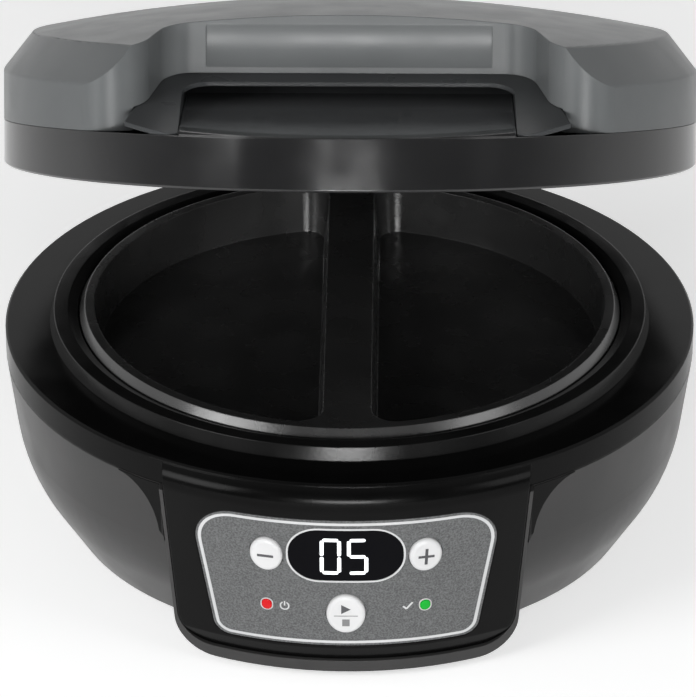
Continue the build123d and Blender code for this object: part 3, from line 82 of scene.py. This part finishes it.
def blendLevel(tree, factor, low, high):
    # low where the factor is 0 and high where it is 1
    level = tree.nodes.new("ShaderNodeMapRange")
    for name, value in (("To Min", low), ("To Max", high)):
        if isinstance(value, float):
            level.inputs[name].default_value = value
        else:
            tree.links.new(value, level.inputs[name])
    tree.links.new(factor, level.inputs["Value"])
    return level.outputs["Result"]


def mathNode(tree, operation, first, second):
    node = tree.nodes.new("ShaderNodeMath")
    node.operation = operation
    for place, value in enumerate((first, second)):
        if isinstance(value, float):
            node.inputs[place].default_value = value
        else:
            tree.links.new(value, node.inputs[place])
    return node.outputs[0]


def addFloor(look):
    bpy.ops.mesh.primitive_plane_add(size=look["floorSize"])
    floor = bpy.context.object
    floor.name = "studioFloor"
    mat = bpy.data.materials.new("paleFloor")
    mat.use_nodes = True
    tree = mat.node_tree
    shader = tree.nodes["Principled BSDF"]
    shader.inputs["Base Color"].default_value = look["floorColour"]
    shader.inputs["Roughness"].default_value = 0.8
    shader.inputs["Specular IOR Level"].default_value = 0.1
    shader.inputs["Emission Color"].default_value = (1, 1, 1, 1)
    path = tree.nodes.new("ShaderNodeLightPath")
    seen = mathNode(tree, "MAXIMUM", path.outputs["Is Camera Ray"], path.outputs["Is Glossy Ray"])
    seen = mathNode(tree, "MAXIMUM", seen, path.outputs["Is Transmission Ray"])
    tree.links.new(blendLevel(tree, seen, 0.0, look["floorGlow"]), shader.inputs["Emission Strength"])
    floor.data.materials.append(mat)


def addRoom(look):
    world = bpy.data.worlds.new("paleRoom")
    bpy.context.scene.world = world
    world.use_nodes = True
    tree = world.node_tree
    background = tree.nodes["Background"]
    background.inputs["Color"].default_value = look["roomColour"]
    coords = tree.nodes.new("ShaderNodeTexCoord")
    split = tree.nodes.new("ShaderNodeSeparateXYZ")
    tree.links.new(coords.outputs["Generated"], split.inputs["Vector"])
    depth = tree.nodes.new("ShaderNodeMapRange")
    depth.interpolation_type = "SMOOTHSTEP"
    depth.inputs["From Min"].default_value = -0.75
    depth.inputs["From Max"].default_value = 0.35
    tree.links.new(split.outputs["Y"], depth.inputs["Value"])
    gloss = blendLevel(tree, depth.outputs["Result"], look["frontGloss"], look["backGloss"])
    path = tree.nodes.new("ShaderNodeLightPath")
    mirrored = mathNode(tree, "MAXIMUM", path.outputs["Is Glossy Ray"], path.outputs["Is Transmission Ray"])
    height = tree.nodes.new("ShaderNodeMapRange")
    height.inputs["From Max"].default_value = 0.9
    tree.links.new(split.outputs["Z"], height.inputs["Value"])
    ambient = blendLevel(tree, height.outputs["Result"], look["ambientSide"], look["ambientTop"])
    level = blendLevel(tree, mirrored, ambient, gloss)
    level = blendLevel(tree, path.outputs["Is Camera Ray"], level, 1.0)
    tree.links.new(level, background.inputs["Strength"])


def addStudio(look):
    addFloor(look)
    addRoom(look)
    for name, (place, aim, size, power) in look["softboxes"].items():
        addSoftbox(name, place, aim, size, power)


addStudio(studio)
print("camera and studio ready")


def newFinish(name):
    mat = bpy.data.materials.new(name)
    mat.use_nodes = True
    return mat, mat.node_tree, mat.node_tree.nodes["Principled BSDF"]


def noiseFrom(tree, coords, scale, detail=3.0, stretch=None):
    noise = tree.nodes.new("ShaderNodeTexNoise")
    noise.inputs["Scale"].default_value = scale
    noise.inputs["Detail"].default_value = detail
    if stretch:
        mapping = tree.nodes.new("ShaderNodeMapping")
        mapping.inputs["Scale"].default_value = stretch
        tree.links.new(coords.outputs["Object"], mapping.inputs["Vector"])
        tree.links.new(mapping.outputs["Vector"], noise.inputs["Vector"])
    else:
        tree.links.new(coords.outputs["Object"], noise.inputs["Vector"])
    return noise


def pocketLightTone(tree, coords, outer, zone):
    # painted light: a lighter tone within a radius and above a height, measured with the lid shut, standing in for the
    # light that falls into the handle pocket
    shut = tree.nodes.new("ShaderNodeVectorRotate")
    shut.rotation_type = "X_AXIS"
    shut.inputs["Center"].default_value = (0, zone["hingeY"] * mm, zone["hingeZ"] * mm)
    shut.inputs["Angle"].default_value = math.radians(zone["open"])
    tree.links.new(coords.outputs["Object"], shut.inputs["Vector"])
    split = tree.nodes.new("ShaderNodeSeparateXYZ")
    tree.links.new(shut.outputs["Vector"], split.inputs["Vector"])
    across = mathNode(tree, "POWER", mathNode(tree, "ABSOLUTE", split.outputs["X"], 0.0), 2.0)
    along = mathNode(tree, "POWER", mathNode(tree, "ABSOLUTE", split.outputs["Y"], 0.0), 2.0)
    spread = mathNode(tree, "ADD", across, along)
    near = mathNode(tree, "LESS_THAN", spread, (zone["within"] * mm) ** 2)
    high = mathNode(tree, "GREATER_THAN", split.outputs["Z"], zone["above"] * mm)
    mix = tree.nodes.new("ShaderNodeMix")
    mix.data_type = "RGBA"
    tree.links.new(mathNode(tree, "MULTIPLY", near, high), mix.inputs[0])
    tree.links.new(outer, mix.inputs[6])
    mix.inputs[7].default_value = (*zone["tone"], 1)
    return mix.outputs[2]


def grainFinish(name, look):
    # moulded or coated surface: two tones, uneven gloss and a fine grain
    mat, tree, shader = newFinish(name)
    coords = tree.nodes.new("ShaderNodeTexCoord")
    cloud = noiseFrom(tree, coords, look.get("toneScale", 30), 4.0, look.get("stretch"))
    tone = tree.nodes.new("ShaderNodeValToRGB")
    tone.color_ramp.elements[0].position = 0.35
    tone.color_ramp.elements[1].position = 0.65
    tone.color_ramp.elements[0].color = (*look["dark"], 1)
    tone.color_ramp.elements[1].color = (*look["light"], 1)
    tree.links.new(cloud.outputs["Fac"], tone.inputs["Fac"])
    # painted light in the handle pocket, where a finish asks for it
    if "pocketLight" in look:
        tree.links.new(pocketLightTone(tree, coords, tone.outputs["Color"], look["pocketLight"]), shader.inputs["Base Color"])
    else:
        tree.links.new(tone.outputs["Color"], shader.inputs["Base Color"])
    gloss = tree.nodes.new("ShaderNodeMapRange")
    gloss.inputs["From Min"].default_value = 0.3
    gloss.inputs["From Max"].default_value = 0.7
    gloss.inputs["To Min"].default_value = look["rough"][0]
    gloss.inputs["To Max"].default_value = look["rough"][1]
    smear = noiseFrom(tree, coords, look.get("glossScale", 55), 3.0, look.get("stretch"))
    tree.links.new(smear.outputs["Fac"], gloss.inputs["Value"])
    tree.links.new(gloss.outputs["Result"], shader.inputs["Roughness"])
    grain = noiseFrom(tree, coords, look.get("grainScale", 1500), 2.0, look.get("grainStretch"))
    bump = tree.nodes.new("ShaderNodeBump")
    bump.inputs["Strength"].default_value = look.get("bump", 0.1)
    bump.inputs["Distance"].default_value = look.get("depth", 0.0002)
    if "edge" in look:
        # worn, softly rounded edges that catch the light
        soft = tree.nodes.new("ShaderNodeBevel")
        soft.samples = 6
        soft.inputs["Radius"].default_value = look["edge"] * mm
        tree.links.new(soft.outputs["Normal"], bump.inputs["Normal"])
    tree.links.new(grain.outputs["Fac"], bump.inputs["Height"])
    tree.links.new(bump.outputs["Normal"], shader.inputs["Normal"])
    shader.inputs["Metallic"].default_value = look.get("metal", 0.0)
    shader.inputs["Specular IOR Level"].default_value = look.get("specular", 0.5)
    shader.inputs["Coat Weight"].default_value = look.get("coat", 0.0)
    shader.inputs["Coat Roughness"].default_value = look.get("coatRough", 0.1)
    return mat


def litFinish(name, colour, glow, strength):
    # coloured lens with a light behind it
    mat, tree, shader = newFinish(name)
    coords = tree.nodes.new("ShaderNodeTexCoord")
    cloud = noiseFrom(tree, coords, 900, 2.0)
    tone = tree.nodes.new("ShaderNodeValToRGB")
    tone.color_ramp.elements[0].color = (*[c * 0.8 for c in colour], 1)
    tone.color_ramp.elements[1].color = (*colour, 1)
    tree.links.new(cloud.outputs["Fac"], tone.inputs["Fac"])
    tree.links.new(tone.outputs["Color"], shader.inputs["Base Color"])
    shader.inputs["Emission Color"].default_value = (*glow, 1)
    shader.inputs["Emission Strength"].default_value = strength
    shader.inputs["Roughness"].default_value = 0.25
    shader.inputs["Specular IOR Level"].default_value = 0.2
    return mat


finishes = {
    "housingGrey": {"dark": (0.034, 0.034, 0.034), "light": (0.04, 0.039, 0.039), "rough": (0.28, 0.36), "bump": 0.12, "grainScale": 2600, "specular": 0.22, "edge": 0.5},
    # the lid shell gets a lighter painted tone in its handle pocket, standing in for light falling into it
    "glossBlack": {"dark": (0.008, 0.008, 0.0085), "light": (0.011, 0.011, 0.0115), "rough": (0.1, 0.16), "bump": 0.02, "specular": 0.62, "edge": 0.5,
                   "pocketLight": {"hingeY": 146.0, "hingeZ": 64.0, "open": 21.5, "within": 121.5, "above": 107.0, "tone": (0.12, 0.124, 0.128)}},
    "deckBlack": {"dark": (0.002, 0.002, 0.002), "light": (0.003, 0.003, 0.003), "rough": (0.18, 0.26), "bump": 0.06, "grainScale": 2200, "specular": 0.085, "edge": 0.7},
    "webBlack": {"dark": (0.002, 0.002, 0.002), "light": (0.003, 0.003, 0.003), "rough": (0.18, 0.26), "bump": 0.06, "grainScale": 2200, "specular": 0.085},
    "collarBlack": {"dark": (0.004, 0.004, 0.004), "light": (0.007, 0.007, 0.007), "rough": (0.16, 0.26), "bump": 0.1, "grainScale": 900, "specular": 0.24, "edge": 0.6},
    "plateCoating": {"dark": (0.012, 0.012, 0.012), "light": (0.018, 0.018, 0.018), "rough": (0.22, 0.32), "bump": 0.12, "grainScale": 1300, "specular": 1.0, "edge": 0.6},
    "lidGrey": {"dark": (0.108, 0.114, 0.116), "light": (0.12, 0.126, 0.128), "rough": (0.28, 0.36), "bump": 0.12, "grainScale": 2600, "specular": 0.22, "edge": 0.5},
    "trimGrey": {"dark": (0.046, 0.048, 0.05), "light": (0.054, 0.057, 0.059), "rough": (0.26, 0.34), "bump": 0.1, "grainScale": 2200, "specular": 0.12, "edge": 0.6},
    "coverBlack": {"dark": (0.012, 0.012, 0.013), "light": (0.02, 0.02, 0.021), "rough": (0.5, 0.62), "bump": 0.25, "grainScale": 1600},
    "footRubber": {"dark": (0.012, 0.012, 0.012), "light": (0.022, 0.022, 0.021), "rough": (0.75, 0.9), "bump": 0.35, "grainScale": 1200, "specular": 0.3},
    "zincSteel": {"dark": (0.45, 0.45, 0.46), "light": (0.56, 0.56, 0.57), "rough": (0.25, 0.4), "bump": 0.08, "grainScale": 1500, "metal": 1.0},
    "panSteel": {"dark": (0.42, 0.42, 0.41), "light": (0.55, 0.55, 0.53), "rough": (0.22, 0.36), "bump": 0.08, "grainScale": 900, "metal": 1.0, "stretch": (1, 12, 1)},
    "heaterTube": {"dark": (0.16, 0.14, 0.12), "light": (0.3, 0.28, 0.26), "rough": (0.35, 0.55), "bump": 0.15, "metal": 1.0},
    "ceramicWhite": {"dark": (0.72, 0.7, 0.65), "light": (0.8, 0.79, 0.75), "rough": (0.4, 0.5), "bump": 0.1},
    "fuseMetal": {"dark": (0.5, 0.5, 0.5), "light": (0.62, 0.62, 0.62), "rough": (0.3, 0.4), "metal": 1.0},
    "boardGreen": {"dark": (0.01, 0.06, 0.025), "light": (0.015, 0.09, 0.035), "rough": (0.3, 0.4), "toneScale": 200},
    "partBlack": {"dark": (0.01, 0.01, 0.011), "light": (0.018, 0.018, 0.019), "rough": (0.4, 0.5), "bump": 0.15},
    "capacitorYellow": {"dark": (0.45, 0.3, 0.04), "light": (0.55, 0.38, 0.06), "rough": (0.3, 0.4)},
    "terminalGreen": {"dark": (0.03, 0.16, 0.06), "light": (0.04, 0.2, 0.08), "rough": (0.45, 0.55)},
    "labelMetal": {"dark": (0.068, 0.07, 0.071), "light": (0.15, 0.153, 0.155), "rough": (0.3, 0.42), "toneScale": 1500, "bump": 0.08, "grainScale": 2400, "metal": 0.3},
    "windowBlack": {"dark": (0.003, 0.003, 0.004), "light": (0.004, 0.004, 0.005), "rough": (0.05, 0.08), "bump": 0.01, "specular": 0.03},
    "buttonSilver": {"dark": (0.6, 0.6, 0.605), "light": (0.64, 0.64, 0.645), "rough": (0.3, 0.38), "bump": 0.05, "specular": 0.5, "edge": 0.5},
    "printSilver": {"dark": (0.56, 0.565, 0.57), "light": (0.62, 0.625, 0.63), "rough": (0.3, 0.4), "metal": 0.2},
    "printDark": {"dark": (0.05, 0.05, 0.055), "light": (0.07, 0.07, 0.075), "rough": (0.4, 0.5)},
    "printGrey": {"dark": (0.16, 0.16, 0.165), "light": (0.2, 0.2, 0.205), "rough": (0.4, 0.5)},
    "washerPlastic": {"dark": (0.5, 0.48, 0.42), "light": (0.58, 0.56, 0.5), "rough": (0.45, 0.55)},
}
made = {name: grainFinish(name, look) for name, look in finishes.items()}
made["lampRed"] = litFinish("lampRed", (0.5, 0.006, 0.008), (1.0, 0.01, 0.02), 0.15)
made["lampGreen"] = litFinish("lampGreen", (0.005, 0.3, 0.02), (0.01, 0.75, 0.08), 0.15)
made["digitWhite"] = litFinish("digitWhite", (0.85, 0.87, 0.9), (0.95, 0.98, 1.0), 1.0)

nodeFinish = {
    "lower_housing": "housingGrey",
    "upper_housing": "deckBlack",
    "plate_collar": "collarBlack",
    "lower_cooking_plate": "plateCoating",
    "upper_cooking_plate": "plateCoating",
    "lower_heater": "heaterTube",
    "upper_heater": "heaterTube",
    "lower_heat_pan": "panSteel",
    "upper_heat_pan": "panSteel",
    "thermostat": "ceramicWhite",
    "thermal_fuse": "fuseMetal",
    "upper_thermal_fuse": "fuseMetal",
    "bottom_cover": "coverBlack",
    "rubber_feet": "footRubber",
    "cord_inlet": "footRubber",
    "power_board": "boardGreen",
    "control_board": "boardGreen",
    "relay": "partBlack",
    "capacitors": "capacitorYellow",
    "terminal_block": "terminalGreen",
    "tact_switches": "partBlack",
    "display_module": "partBlack",
    "control_label": "labelMetal",
    "display_window": "windowBlack",
    "power_lamp_lens": "lampRed",
    "ready_lamp_lens": "lampGreen",
    "minus_button": "buttonSilver",
    "plus_button": "buttonSilver",
    "start_button": "buttonSilver",
    "hinge_bracket": "coverBlack",
    "hinge_arm": "coverBlack",
    "hinge_pin": "zincSteel",
    "pin_clip": "zincSteel",
    "friction_washers": "washerPlastic",
    "lid_cover": "lidGrey",
    "lid_shell": "glossBlack",
    "handle_trim": "trimGrey",
}
for name, piece in nodes.items():
    finish = made[nodeFinish.get(name, "zincSteel")]
    if not piece.material_slots:
        piece.data.materials.append(finish)
    for place in piece.material_slots:
        place.material = finish
print("finishes assigned")



def pickOnly(obj):
    bpy.ops.object.select_all(action="DESELECT")
    obj.select_set(True)
    bpy.context.view_layer.objects.active = obj


def applyPlace(obj):
    pickOnly(obj)
    bpy.ops.object.transform_apply(location=True, rotation=True, scale=True)


def applyTool(obj, tool):
    pickOnly(obj)
    bpy.ops.object.modifier_apply(modifier=tool.name)


def selectPoints(obj, wanted):
    # only the vertices that the test picks, ready for an edit-mode operator
    pickOnly(obj)
    bpy.ops.object.mode_set(mode="EDIT")
    bpy.ops.mesh.select_mode(type="VERT")
    bpy.ops.mesh.select_all(action="DESELECT")
    bpy.ops.object.mode_set(mode="OBJECT")
    for point in obj.data.vertices:
        point.select = wanted(point.co)
    bpy.ops.object.mode_set(mode="EDIT")


def endEdit():
    bpy.ops.object.mode_set(mode="OBJECT")


def flatPlate(name, x, z, wide, tall):
    # a plate drawn flat, X across and Y up, laid on the front later
    bpy.ops.object.select_all(action="DESELECT")
    bpy.ops.mesh.primitive_plane_add(size=1, location=(x * mm, z * mm, 0))
    obj = bpy.context.object
    obj.name = name
    obj.data.name = name
    obj.scale = (wide * mm, tall * mm, 1)
    applyPlace(obj)
    return obj


def roundOff(obj, wanted, reach, steps):
    selectPoints(obj, wanted)
    bpy.ops.mesh.bevel(offset=reach * mm, offset_type="OFFSET", segments=steps, affect="VERTICES", profile=0.5)
    endEdit()


def makeRing(obj, wide):
    pickOnly(obj)
    bpy.ops.object.mode_set(mode="EDIT")
    bpy.ops.mesh.select_mode(type="FACE")
    bpy.ops.mesh.select_all(action="SELECT")
    bpy.ops.mesh.inset(thickness=wide * mm, depth=0)
    bpy.ops.mesh.delete(type="FACE")
    endEdit()


def cutStrips(obj, pitch):
    # upright cuts, so that the plate can follow the round front
    pickOnly(obj)
    lowest = min(point.co.x for point in obj.data.vertices)
    highest = max(point.co.x for point in obj.data.vertices)
    count = int((highest - lowest) / (pitch * mm))
    bpy.ops.object.mode_set(mode="EDIT")
    for step in range(count):
        place = lowest + (step + 1) * (highest - lowest) / (count + 1)
        bpy.ops.mesh.select_all(action="SELECT")
        bpy.ops.mesh.bisect(plane_co=(place, 0, 0), plane_no=(1, 0, 0))
    endEdit()


def copyTo(obj, dx, dz):
    pickOnly(obj)
    bpy.ops.object.duplicate(linked=False)
    twin = bpy.context.object
    twin.location = (dx * mm, dz * mm, 0)
    applyPlace(twin)
    return twin


def joinAll(objs, name):
    bpy.ops.object.select_all(action="DESELECT")
    for obj in objs:
        obj.select_set(True)
    bpy.context.view_layer.objects.active = objs[0]
    bpy.ops.object.join()
    whole = bpy.context.object
    whole.name = name
    whole.data.name = name
    return whole


def dress(obj, finish, body, angle=35):
    pickOnly(obj)
    bpy.ops.object.shade_smooth_by_angle(angle=math.radians(angle))
    obj.data.materials.clear()
    obj.data.materials.append(made[finish])
    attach(obj, body)


# the round front face: radius at the table and growth per millimetre of height
frontFace = {"footRadius": 117.5, "slope": 0.2, "guideHeight": 100.0, "labelSink": 0.1}


def frontGuide(look, lift):
    bpy.ops.object.select_all(action="DESELECT")
    high = look["guideHeight"]
    bpy.ops.mesh.primitive_cone_add(
        vertices=720,
        radius1=(look["footRadius"] + lift) * mm,
        radius2=(look["footRadius"] + look["slope"] * high + lift) * mm,
        depth=high * mm,
        end_fill_type="NOTHING",
        location=(0, 0, high * mm / 2),
    )
    guide = bpy.context.object
    applyPlace(guide)
    return guide


def layOnFront(obj, guide, thick):
    # stands the plate up, presses it on the front and gives it its thickness
    obj.rotation_euler = (math.pi / 2, 0, 0)
    obj.location = (0, -0.2, 0)
    applyPlace(obj)
    press = obj.modifiers.new("press", "SHRINKWRAP")
    press.wrap_method = "PROJECT"
    press.use_project_y = True
    press.target = guide
    applyTool(obj, press)
    sheet = obj.modifiers.new("sheet", "SOLIDIFY")
    sheet.thickness = thick * mm
    sheet.offset = 1
    applyTool(obj, sheet)


def buttonPlane(x, z, rise):
    # frame on a button's face: X across, Y up the slope, Z out of the face
    radius = frontFace["footRadius"] + frontFace["slope"] * z
    turn = math.asin(x / radius)
    lean = math.atan(frontFace["slope"])
    out = Vector((math.sin(turn) * math.cos(lean), -math.cos(turn) * math.cos(lean), -math.sin(lean)))
    across = Vector((math.cos(turn), math.sin(turn), 0))
    upward = out.cross(across)
    place = Vector((x, -radius * math.cos(turn), z)) * mm + out * rise * mm
    return Matrix((
        (across.x, upward.x, out.x, place.x),
        (across.y, upward.y, out.y, place.y),
        (across.z, upward.z, out.z, place.z),
        (0, 0, 0, 1),
    ))


def layOnButton(obj, place, thick):
    sheet = obj.modifiers.new("sheet", "SOLIDIFY")
    sheet.thickness = thick * mm
    sheet.offset = 1
    applyTool(obj, sheet)
    obj.matrix_world = place
    applyPlace(obj)


onLabel = frontGuide(frontFace, -frontFace["labelSink"])
onWindow = frontGuide(frontFace, 0)

# silver line round the label
labelLine = {"halfTop": 55.6, "halfFoot": 46.6, "top": 73.8, "foot": 16.8, "topReach": 15.6, "footReach": 4.9, "wide": 1.15, "thick": 0.12, "pitch": 4.0}


def addLabelLine(look):
    tall = look["top"] - look["foot"]
    obj = flatPlate("label_line", 0, look["foot"] + tall / 2, 2 * look["halfFoot"], tall)
    middle = (look["foot"] + tall / 2) * mm
    selectPoints(obj, lambda co: co.y > middle)
    bpy.ops.transform.resize(value=(look["halfTop"] / look["halfFoot"], 1, 1), center_override=(0, 0, 0))
    endEdit()
    roundOff(obj, lambda co: co.y > middle, look["topReach"], 12)
    corner = look["foot"] * mm + 0.00001
    roundOff(obj, lambda co: co.y < corner, look["footReach"], 8)
    makeRing(obj, look["wide"])
    cutStrips(obj, look["pitch"])
    layOnFront(obj, onLabel, look["thick"])
    dress(obj, "printSilver", "base")


addLabelLine(labelLine)

# thin frame of the display window
windowLine = {"z": 58.6, "halfWide": 21.5, "halfTall": 12.6, "corner": 11.8, "wide": 0.7, "thick": 0.16, "pitch": 3.0}


def addWindowLine(look):
    obj = flatPlate("window_line", 0, look["z"], 2 * look["halfWide"], 2 * look["halfTall"])
    roundOff(obj, lambda co: True, look["corner"], 12)
    makeRing(obj, look["wide"])
    cutStrips(obj, look["pitch"])
    layOnFront(obj, onLabel, look["thick"])
    dress(obj, "printSilver", "base")


addWindowLine(windowLine)

# the two digits: bars 1-7 of a seven-bar digit, left and right
digits = {"z": 58.2, "leftX": -5.5, "rightX": 4.25, "wide": 7.6, "tall": 16.8, "upright": 1.35, "level": 1.45, "gap": 0.3, "thick": 0.06,
          "leftBars": "abcdef", "rightBars": "acdfg"}


def addDigits(look):
    halfBar = (look["tall"] - look["level"]) / 2
    barLong = halfBar - 2 * look["gap"]
    stand = flatPlate("bar", 0, 0, look["upright"], barLong)
    roundOff(stand, lambda co: True, look["upright"] * 0.42, 4)
    level = flatPlate("bar", 0, 0, look["wide"] - look["upright"] - 2 * look["gap"], look["level"])
    roundOff(level, lambda co: True, look["level"] * 0.42, 4)
    side = (look["wide"] - look["upright"]) / 2
    spots = {
        "a": (level, 0, halfBar), "g": (level, 0, 0), "d": (level, 0, -halfBar),
        "b": (stand, side, halfBar / 2), "c": (stand, side, -halfBar / 2),
        "e": (stand, -side, -halfBar / 2), "f": (stand, -side, halfBar / 2),
    }
    lit = []
    for x, bars in ((look["leftX"], look["leftBars"]), (look["rightX"], look["rightBars"])):
        for bar in bars:
            source, dx, dz = spots[bar]
            lit.append(copyTo(source, x + dx, look["z"] + dz))
    for spare in (stand, level):
        pickOnly(spare)
        bpy.ops.object.delete()
    whole = joinAll(lit, "display_digits")
    cutStrips(whole, 0.9)
    layOnFront(whole, onWindow, look["thick"])
    dress(whole, "digitWhite", "base")


addDigits(digits)

# minus and plus signs on the two side buttons
signs = {"x": 28.6, "z": 57.7, "rise": 1.6, "thick": 0.08, "minusWide": 6.0, "minusTall": 1.15, "plusWide": 5.9, "plusTall": 7.4, "plusBar": 1.1}


def addSigns(look):
    minus = flatPlate("minus_sign", 0, 0, look["minusWide"], look["minusTall"])
    layOnButton(minus, buttonPlane(-look["x"], look["z"], look["rise"]), look["thick"])
    dress(minus, "printDark", "minus_button")
    plus = flatPlate("plus_sign", 0, 0, look["plusBar"], look["plusBar"])
    halfBar = look["plusBar"] * mm / 2
    for axis, reach in ((0, look["plusWide"]), (1, look["plusTall"])):
        for way in (-1, 1):
            selectPoints(plus, lambda co: abs(co[axis] - way * halfBar) < 1e-6 and abs(co[1 - axis]) < halfBar * 1.01)
            bpy.ops.mesh.select_mode(type="EDGE")
            shift = [0, 0, 0]
            shift[axis] = way * (reach * mm / 2 - halfBar)
            bpy.ops.mesh.extrude_region_move(TRANSFORM_OT_translate={"value": shift})
            endEdit()
    layOnButton(plus, buttonPlane(look["x"], look["z"], look["rise"]), look["thick"])
    dress(plus, "printDark", "plus_button")


addSigns(signs)

# start and stop signs on the lower button: a triangle over a line, a square under it
startSign = {"z": 31.4, "rise": 1.6, "thick": 0.08, "triangleWide": 3.4, "triangleTall": 4.4, "triangleZ": 3.2, "lineWide": 8.6, "lineTall": 0.32, "squareWide": 2.7, "squareTall": 3.3, "squareZ": -3.3}


def addStartSign(look):
    place = buttonPlane(0, look["z"], look["rise"])
    bpy.ops.object.select_all(action="DESELECT")
    go = flatPlate("start_sign", 0, look["triangleZ"], look["triangleWide"], look["triangleTall"])
    selectPoints(go, lambda co: co.x > 0)
    bpy.ops.mesh.merge(type="CENTER")
    endEdit()
    layOnButton(go, place, look["thick"])
    dress(go, "printDark", "start_button")
    line = flatPlate("start_line", 0, 0, look["lineWide"], look["lineTall"])
    square = flatPlate("start_square", 0, look["squareZ"], look["squareWide"], look["squareTall"])
    halt = joinAll([line, square], "stop_sign")
    layOnButton(halt, place, look["thick"])
    dress(halt, "printGrey", "start_button")


addStartSign(startSign)

# bezels round the two lamps and a clear dome over each lens
lamps = {"x": 28.6, "z": 33.6, "outerWide": 2.3, "outerTall": 2.8, "innerWide": 0.42, "thick": 0.35, "domeWide": 1.75, "domeTall": 2.15, "domeRise": 0.5, "domeHigh": 0.45}


def addLamps(look):
    for way, lens, finish, slotName in ((-1, "power", "lampRed", "lamp_red"), (1, "ready", "lampGreen", "lamp_green")):
        ring = flatPlate(lens + "_lamp_ring", way * look["x"], look["z"], 2 * look["outerWide"], 2 * look["outerTall"])
        roundOff(ring, lambda co: True, look["outerWide"] * 0.98, 8)
        makeRing(ring, look["innerWide"])
        layOnFront(ring, onLabel, look["thick"])
        soften = ring.modifiers.new("soften", "BEVEL")
        soften.width = 0.12 * mm
        soften.segments = 2
        soften.limit_method = "ANGLE"
        applyTool(ring, soften)
        dress(ring, "printSilver", "base")
        bpy.ops.object.select_all(action="DESELECT")
        bpy.ops.mesh.primitive_uv_sphere_add(segments=32, ring_count=16, radius=1)
        dome = bpy.context.object
        dome.name = dome.data.name = lens + "_lamp_dome"
        bpy.ops.object.mode_set(mode="EDIT")
        bpy.ops.mesh.select_all(action="SELECT")
        bpy.ops.mesh.bisect(plane_co=(0, 0, 0), plane_no=(0, 0, 1), clear_inner=True, use_fill=True)
        bpy.ops.mesh.select_all(action="SELECT")
        bpy.ops.transform.resize(value=(look["domeWide"] * mm, look["domeTall"] * mm, look["domeHigh"] * mm), center_override=(0, 0, 0))
        endEdit()
        dome.matrix_world = buttonPlane(way * look["x"], look["z"], look["domeRise"])
        applyPlace(dome)
        dress(dome, finish, "base", 60)


addLamps(lamps)

# power sign beside the red lamp, tick beside the green one
icons = {"powerX": -22.2, "tickX": 22.4, "z": 33.6, "ring": 1.75, "ringWide": 0.5, "stretch": 1.12, "bar": 0.5, "barTall": 2.1, "thick": 0.08}


def addIcons(look):
    wide = look["ring"]
    circle = flatPlate("power_sign", look["powerX"], look["z"] - 0.2, 2 * wide, 2 * wide * look["stretch"])
    roundOff(circle, lambda co: True, wide * 0.999, 8)
    makeRing(circle, look["ringWide"])
    # the gap at the top of the ring
    pickOnly(circle)
    bpy.ops.object.mode_set(mode="EDIT")
    for way in (-1, 1):
        bpy.ops.mesh.select_all(action="SELECT")
        bpy.ops.mesh.bisect(plane_co=((look["powerX"] + way * 0.75) * mm, 0, 0), plane_no=(1, 0, 0))
    bpy.ops.mesh.select_mode(type="FACE")
    bpy.ops.mesh.select_all(action="DESELECT")
    endEdit()
    for face in circle.data.polygons:
        face.select = face.center.y > look["z"] * mm and abs(face.center.x - look["powerX"] * mm) < 0.7 * mm
    bpy.ops.object.mode_set(mode="EDIT")
    bpy.ops.mesh.delete(type="FACE")
    endEdit()
    bar = flatPlate("power_bar", look["powerX"], look["z"] + 0.95, look["bar"], look["barTall"])
    power = joinAll([circle, bar], "power_sign")
    cutStrips(power, 1.2)
    layOnFront(power, onLabel, look["thick"])
    dress(power, "printSilver", "base")
    tick = flatPlate("tick_sign", 0, 0, look["bar"] * 1.3, 3.6)
    short = flatPlate("tick_short", 0, 0, look["bar"] * 1.3, 1.9)
    for obj, lean, dx, dz in ((tick, -38, 0.55, 0.1), (short, 42, -1.12, -0.72)):
        obj.rotation_euler = (0, 0, math.radians(lean))
        obj.location = ((look["tickX"] + dx) * mm, (look["z"] + dz) * mm, 0)
        applyPlace(obj)
    done = joinAll([tick, short], "tick_sign")
    cutStrips(done, 1.2)
    layOnFront(done, onLabel, look["thick"])
    dress(done, "printSilver", "base")


addIcons(icons)
# dark webs that round the corners between the rim and the apron
cornerWeb = {"x": 67.3, "top": 77.4, "wide": 15.0, "tall": 24.0, "profile": 0.1, "steps": 14, "footShift": 1.75, "thick": 0.35, "pitch": 1.2}


def addCornerWebs(look):
    wide = look["wide"]
    for way, side in ((-1, "left"), (1, "right")):
        web = flatPlate(side + "_corner_web", way * (look["x"] + wide / 2), look["top"] - wide / 2, wide, wide)
        far = (look["x"] + wide) * mm
        low = (look["top"] - wide) * mm
        selectPoints(web, lambda co: abs(abs(co.x) - far) < 1e-5 and abs(co.y - low) < 1e-5)
        bpy.ops.mesh.bevel(offset=wide * 0.99 * mm, offset_type="OFFSET", segments=look["steps"], affect="VERTICES", profile=look["profile"])
        bpy.ops.mesh.select_all(action="SELECT")
        bpy.ops.transform.resize(value=(1, look["tall"] / wide, 1), center_override=(0, look["top"] * mm, 0))
        endEdit()
        foot = (look["top"] - look["tall"]) * mm
        selectPoints(web, lambda co: co.y < foot + 1e-4)
        bpy.ops.transform.translate(value=(-way * look["footShift"] * mm, 0, 0))
        endEdit()
        cutStrips(web, look["pitch"])
        layOnFront(web, nodes["lower_housing"], look["thick"])
        dress(web, "webBlack", "base")


addCornerWebs(cornerWeb)
print("corner webs ready")

for guide in (onLabel, onWindow):
    pickOnly(guide)
    bpy.ops.object.delete()
print("front printing, signs and lamps ready")
